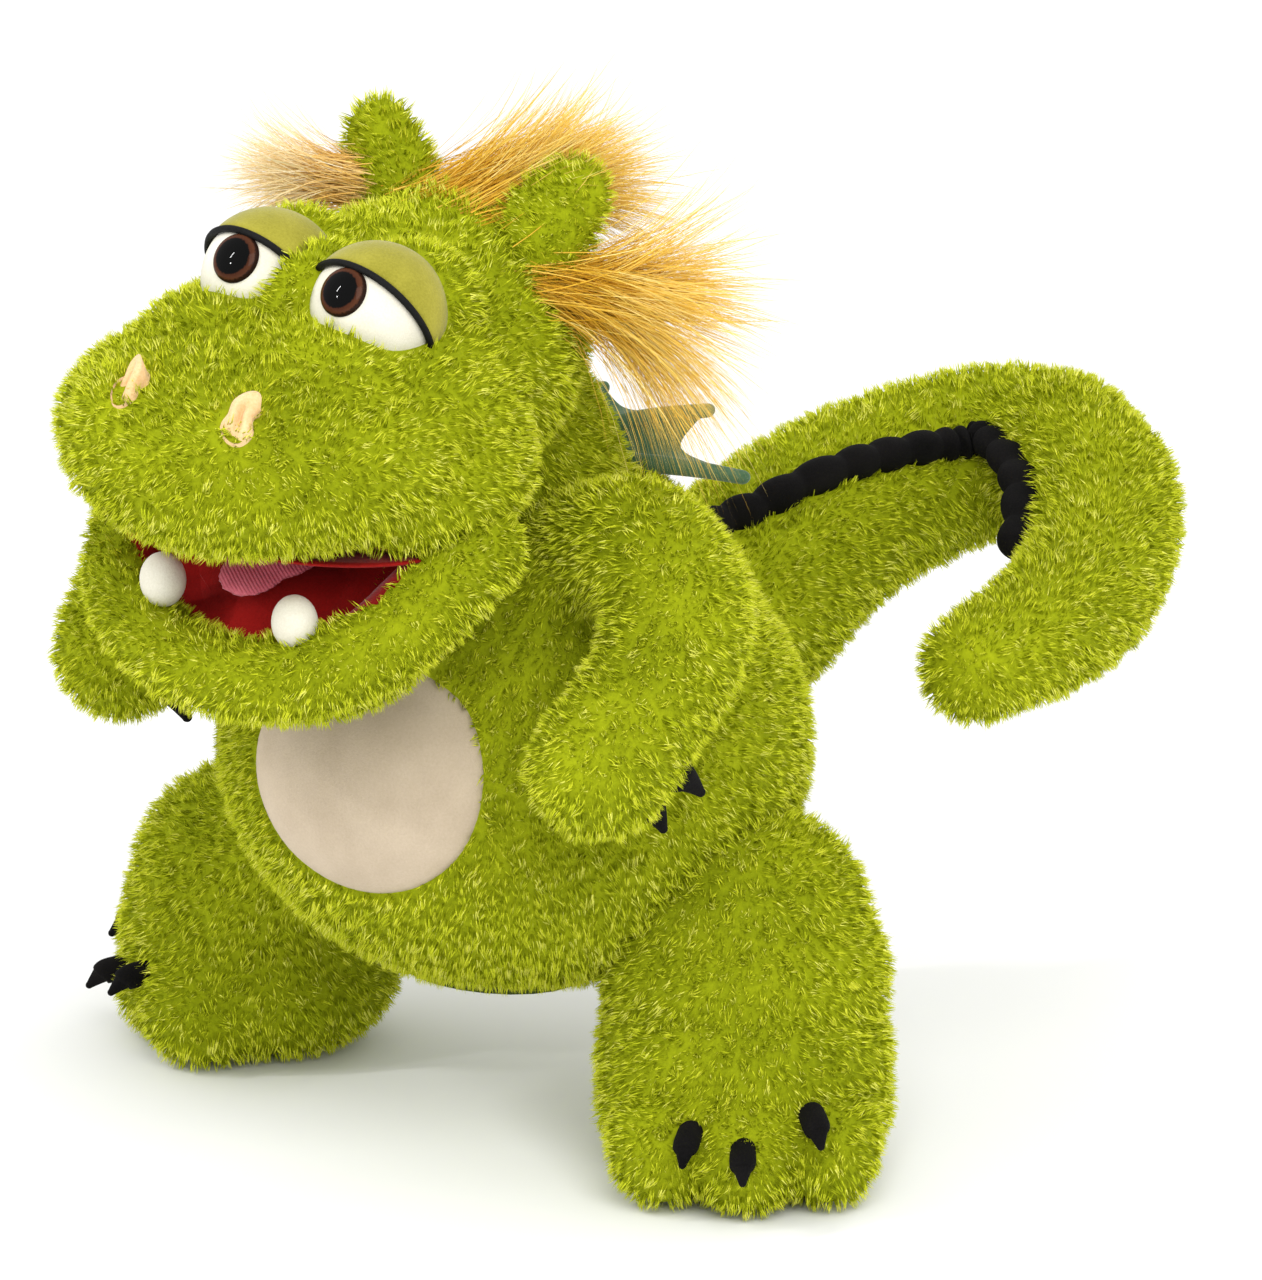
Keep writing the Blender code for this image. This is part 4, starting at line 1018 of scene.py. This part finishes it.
def crest_line():
    """Places and outward directions along the tail's back, rolling towards its inner side."""
    path = [Vector(row[:3]) for row in smooth_path(TAIL, 24)]
    radii = [row[3] for row in smooth_path(TAIL, 24)]
    first, last = (int(share * (len(path) - 1)) for share in CREST_SPAN)
    line = []
    for index in range(first, last + 1):
        along = (path[min(index + 1, len(path) - 1)] - path[index - 1]).normalized()
        inner = along.cross(Vector((0, 0, 1))).normalized()
        upward = inner.cross(along)
        share = (index - first) / (last - first)
        roll = math.radians(6 + 72 * share + 17 * math.sin(math.pi * share))
        out = upward * math.cos(roll) + inner * math.sin(roll)
        line.append((path[index] + out * (radii[index] + 0.0035), out, along))
    return line


def make_crest():
    """A stuffed velour ridge, gathered into puffs by its stitches."""
    line = crest_line()
    for name, share in (("base", (0.0, 0.60)), ("middle", (0.60, 1.0))):
        build = bmesh.new()
        rings, count = [], 20
        low, high = (int(part * (len(line) - 1)) for part in share)
        for index in range(low, high + 1):
            place, out, along = line[index]
            wave = abs(math.sin(math.pi * CREST_PUFFS * index / (len(line) - 1)))
            size = 0.0062 + 0.0032 * wave ** 0.7
            side = along.cross(out).normalized()
            ends = min(1.0, (index - low) / 3 + 0.25, (high - index) / 3 + 0.25)
            rings.append([build.verts.new(BODY_FRAME @ (place + side * math.cos(t) * size * 0.80 * ends
                                                        + out * math.sin(t) * size * 1.12 * ends))
                          for t in (2 * math.pi * k / count for k in range(count))])
        ring_faces(build, rings)
        build.faces.new(rings[0])
        build.faces.new(rings[-1])
        bmesh.ops.recalc_face_normals(build, faces=build.faces)
        crest = link(f"crest_velour_{name}", shape(f"crest_velour_{name}", build), BLACK)
        refine(crest)
        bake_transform(crest)
        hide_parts(f"tail_crest_{name}")


# ---- wings -------------------------------------------------------------------------
WING_ROOT = Vector((0.007, 0.046, 0.294))
WING_TURN = math.radians(51.0)
WING_TILT = math.radians(46.0)
WING_RIBS = [((0.000, -0.009), (0.077, -0.015)), ((0.000, 0.000), (0.062, 0.016)),
             ((0.000, 0.010), (0.018, 0.026))]


def make_wings():
    for side_name, side in SIDES.items():
        make_wing(side_name, side)


def make_wing(side_name, side):
    """Two layers of velour over three padded ribs, with scalloped edges between their tips."""
    heading = math.pi / 2 - side * WING_TURN
    matrix = BODY_FRAME @ Matrix.Translation((side * WING_ROOT.x, WING_ROOT.y, WING_ROOT.z)) \
        @ Matrix.Rotation(heading, 4, 'Z') @ Matrix.Rotation(side * WING_TILT, 4, 'X')
    build = bmesh.new()
    rows = []
    spans, deep = 24, 20
    for u in range(spans + 1):
        share = 2 * u / spans
        rib = min(int(share), 1)
        t = share - rib
        start = Vector(WING_RIBS[rib][0]).lerp(Vector(WING_RIBS[rib + 1][0]), t)
        stop = Vector(WING_RIBS[rib][1]).lerp(Vector(WING_RIBS[rib + 1][1]), t)
        scallop = 1 - 0.26 * math.sin(math.pi * t)
        row = []
        for v in range(deep + 1):
            flat = start.lerp(start + (stop - start) * scallop, v / deep)
            arch = 0.006 * math.sin(math.pi * v / deep) - 0.003 * math.sin(math.pi * t) * v / deep
            row.append(build.verts.new((flat.x, side * flat.y, arch)))
        rows.append(row)
    grid_faces(build, rows)
    bmesh.ops.transform(build, matrix=matrix, verts=build.verts)
    bmesh.ops.recalc_face_normals(build, faces=build.faces)
    mesh = shape(f"wing_velour_{side_name}", build)
    web = link(f"wing_velour_{side_name}", mesh, WING)
    thicken(web, 0.0026, 0)
    refine(web)
    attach(web, f"{side_name}_wing")
    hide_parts(f"wing_{side_name}")
    for number, (heel, tip) in enumerate(WING_RIBS):
        build = bmesh.new()
        heel, tip = Vector(heel), Vector(tip)
        points = []
        for step in range(5):
            flat = heel.lerp(tip, step / 4)
            lift = 0.006 * math.sin(math.pi * step / 4)
            points.append((flat.x, side * flat.y, lift, 0.0062 - 0.0026 * step / 4))
        stuffed(build, points, count=16, flat=0.8, side_hint=(0, 0, 1))
        bmesh.ops.transform(build, matrix=matrix, verts=build.verts)
        name = f"wing_rib_{number}_{side_name}"
        rib = link(name, shape(name, build), WING)
        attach(rib, f"{side_name}_wing")


# ---- long hair ---------------------------------------------------------------------
HAIR_BEND = 1.5
HAIR_LOCKS = 16


def strands(name, centre, spread, flow, length, count, seed, materials, node, droop=0.35, width=0.00075,
            spray=0.42):
    """A bunch of long silky fibres from one sewn root, in locks that part from each other."""
    rng = np.random.default_rng(seed)
    lock_lean = unit(np.array(flow) + spray * rng.normal(size=(HAIR_LOCKS, 3)))
    home = rng.integers(0, HAIR_LOCKS, count)
    roots = np.array(centre) + rng.normal(size=(count, 3)) * np.array(spread)
    lean = unit(lock_lean[home] + 0.06 * rng.normal(size=(count, 3)))
    tall = length * np.clip(rng.normal(0.88, 0.16, count), 0.50, 1.20)
    own = np.array(HEAD_FRAME)[:3, :3]
    turned = roots @ own.T + np.array(HEAD_FRAME)[:3, 3]
    directions = unit(0.8 * np.array(flow) + 0.6 * lean) @ own.T
    sag = np.array((0, 0, -droop)) * rng.uniform(0.3, 1.2, count)[:, None]
    curls = HAIR_BEND * (lean @ own.T - directions) + sag
    widths = width * rng.uniform(0.6, 1.3, count)
    shade = rng.choice(3, size=count, p=[0.45, 0.3, 0.25])
    mesh = blades_mesh(name, turned, directions, curls, tall, widths, shade, materials, bends=6)
    tuft = link(name, mesh)
    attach(tuft, "head")
    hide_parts(node)


def make_hair():
    strands("mane_hair", (0, -0.016, 0.412), (0.013, 0.006, 0.003), (0.44, 0.80, 0.34), 0.080, 3400, 81,
            HAIR, "mane", droop=0.20, spray=0.30, width=0.00042)
    strands("ear_hair_left", (0.050, -0.020, 0.392), (0.005, 0.005, 0.005), (0.80, 0.46, -0.02), 0.088,
            2000, 82, HAIR, "ear_tuft_left", droop=0.30, spray=0.26, width=0.00042)
    strands("ear_hair_right", (-0.050, -0.020, 0.411), (0.005, 0.005, 0.005), (-0.74, -0.64, 0.10), 0.052,
            1300, 83, PALE_HAIR, "ear_tuft_right", droop=0.06, spray=0.26, width=0.00042)


# ---- inner pieces that keep their CAD shape ------------------------------------------
def paint_frame():
    for names, material in ((("hand_sleeve", "neck_sleeve", "finger_pocket", "thumb_pocket"), SLEEVE),
                            (("palate_board", "jaw_board"), LINING)):
        for name in names:
            node = frame["nodes"][name]
            node.data.materials.clear()
            node.data.materials.append(material)


# ---- stage -------------------------------------------------------------------------
CAMERA_AZIMUTH = math.radians(40.0)
CAMERA_RISE = math.radians(18.0)
CAMERA_DISTANCE = 9.0
CAMERA_TARGET = Vector((0.009, 0.091, 0.197))
CAMERA_LENS = 601.0
LAMPS = [                            # name, place, width, height, power
    ("key", (1.7, -1.3, 2.1), 1.8, 1.8, 46.0),
    ("back", (0.4, 2.0, 1.6), 1.4, 1.4, 9.0),
    ("strip", (-0.82, -1.22, 1.42), 0.030, 0.30, 7.0),
    ("spot", (-0.66, -1.35, 1.05), 0.060, 0.060, 2.6),
]


def make_stage():
    build = bmesh.new()
    bmesh.ops.create_grid(build, x_segments=1, y_segments=1, size=6.0)
    mesh = bpy.data.meshes.new("floor")
    build.to_mesh(mesh)
    build.free()
    floor_look, _, shader = shader_of("floor_paper")
    shader.inputs["Base Color"].default_value = (0.93, 0.93, 0.93, 1)
    shader.inputs["Roughness"].default_value = 0.9
    floor = link("floor", mesh, floor_look)
    world = bpy.data.worlds.new("studio")
    world.use_nodes = True
    world.node_tree.nodes["Background"].inputs["Color"].default_value = (1, 1, 1, 1)
    world.node_tree.nodes["Background"].inputs["Strength"].default_value = 0.92
    bpy.context.scene.world = world
    for name, place, width, height, power in LAMPS:
        lamp = bpy.data.lights.new(name, 'AREA')
        lamp.shape = 'RECTANGLE'
        lamp.size, lamp.size_y = width, height
        lamp.energy = power
        light = link(name, lamp)
        light.location = place
        aim = Vector((0, 0, 0.25)) - Vector(place)
        light.rotation_euler = aim.to_track_quat('-Z', 'Y').to_euler()


def make_camera():
    look = bpy.data.cameras.new("camera")
    look.lens = CAMERA_LENS
    look.sensor_width = 36.0
    camera = link("camera", look)
    away = Vector((math.sin(CAMERA_AZIMUTH) * math.cos(CAMERA_RISE),
                   -math.cos(CAMERA_AZIMUTH) * math.cos(CAMERA_RISE), math.sin(CAMERA_RISE)))
    camera.location = SHIFT + CAMERA_TARGET + away * CAMERA_DISTANCE
    camera.rotation_euler = (-away).to_track_quat('-Z', 'Y').to_euler()
    bpy.context.scene.camera = camera
    bpy.context.scene.view_settings.view_transform = 'Standard'


make_camera()
make_stage()
make_torso()
make_head()
make_eyes()
make_nostrils()
make_jaw()
make_linings()
make_tongue()
make_arms()
make_legs()
make_tail()
make_wings()
make_hair()
paint_frame()
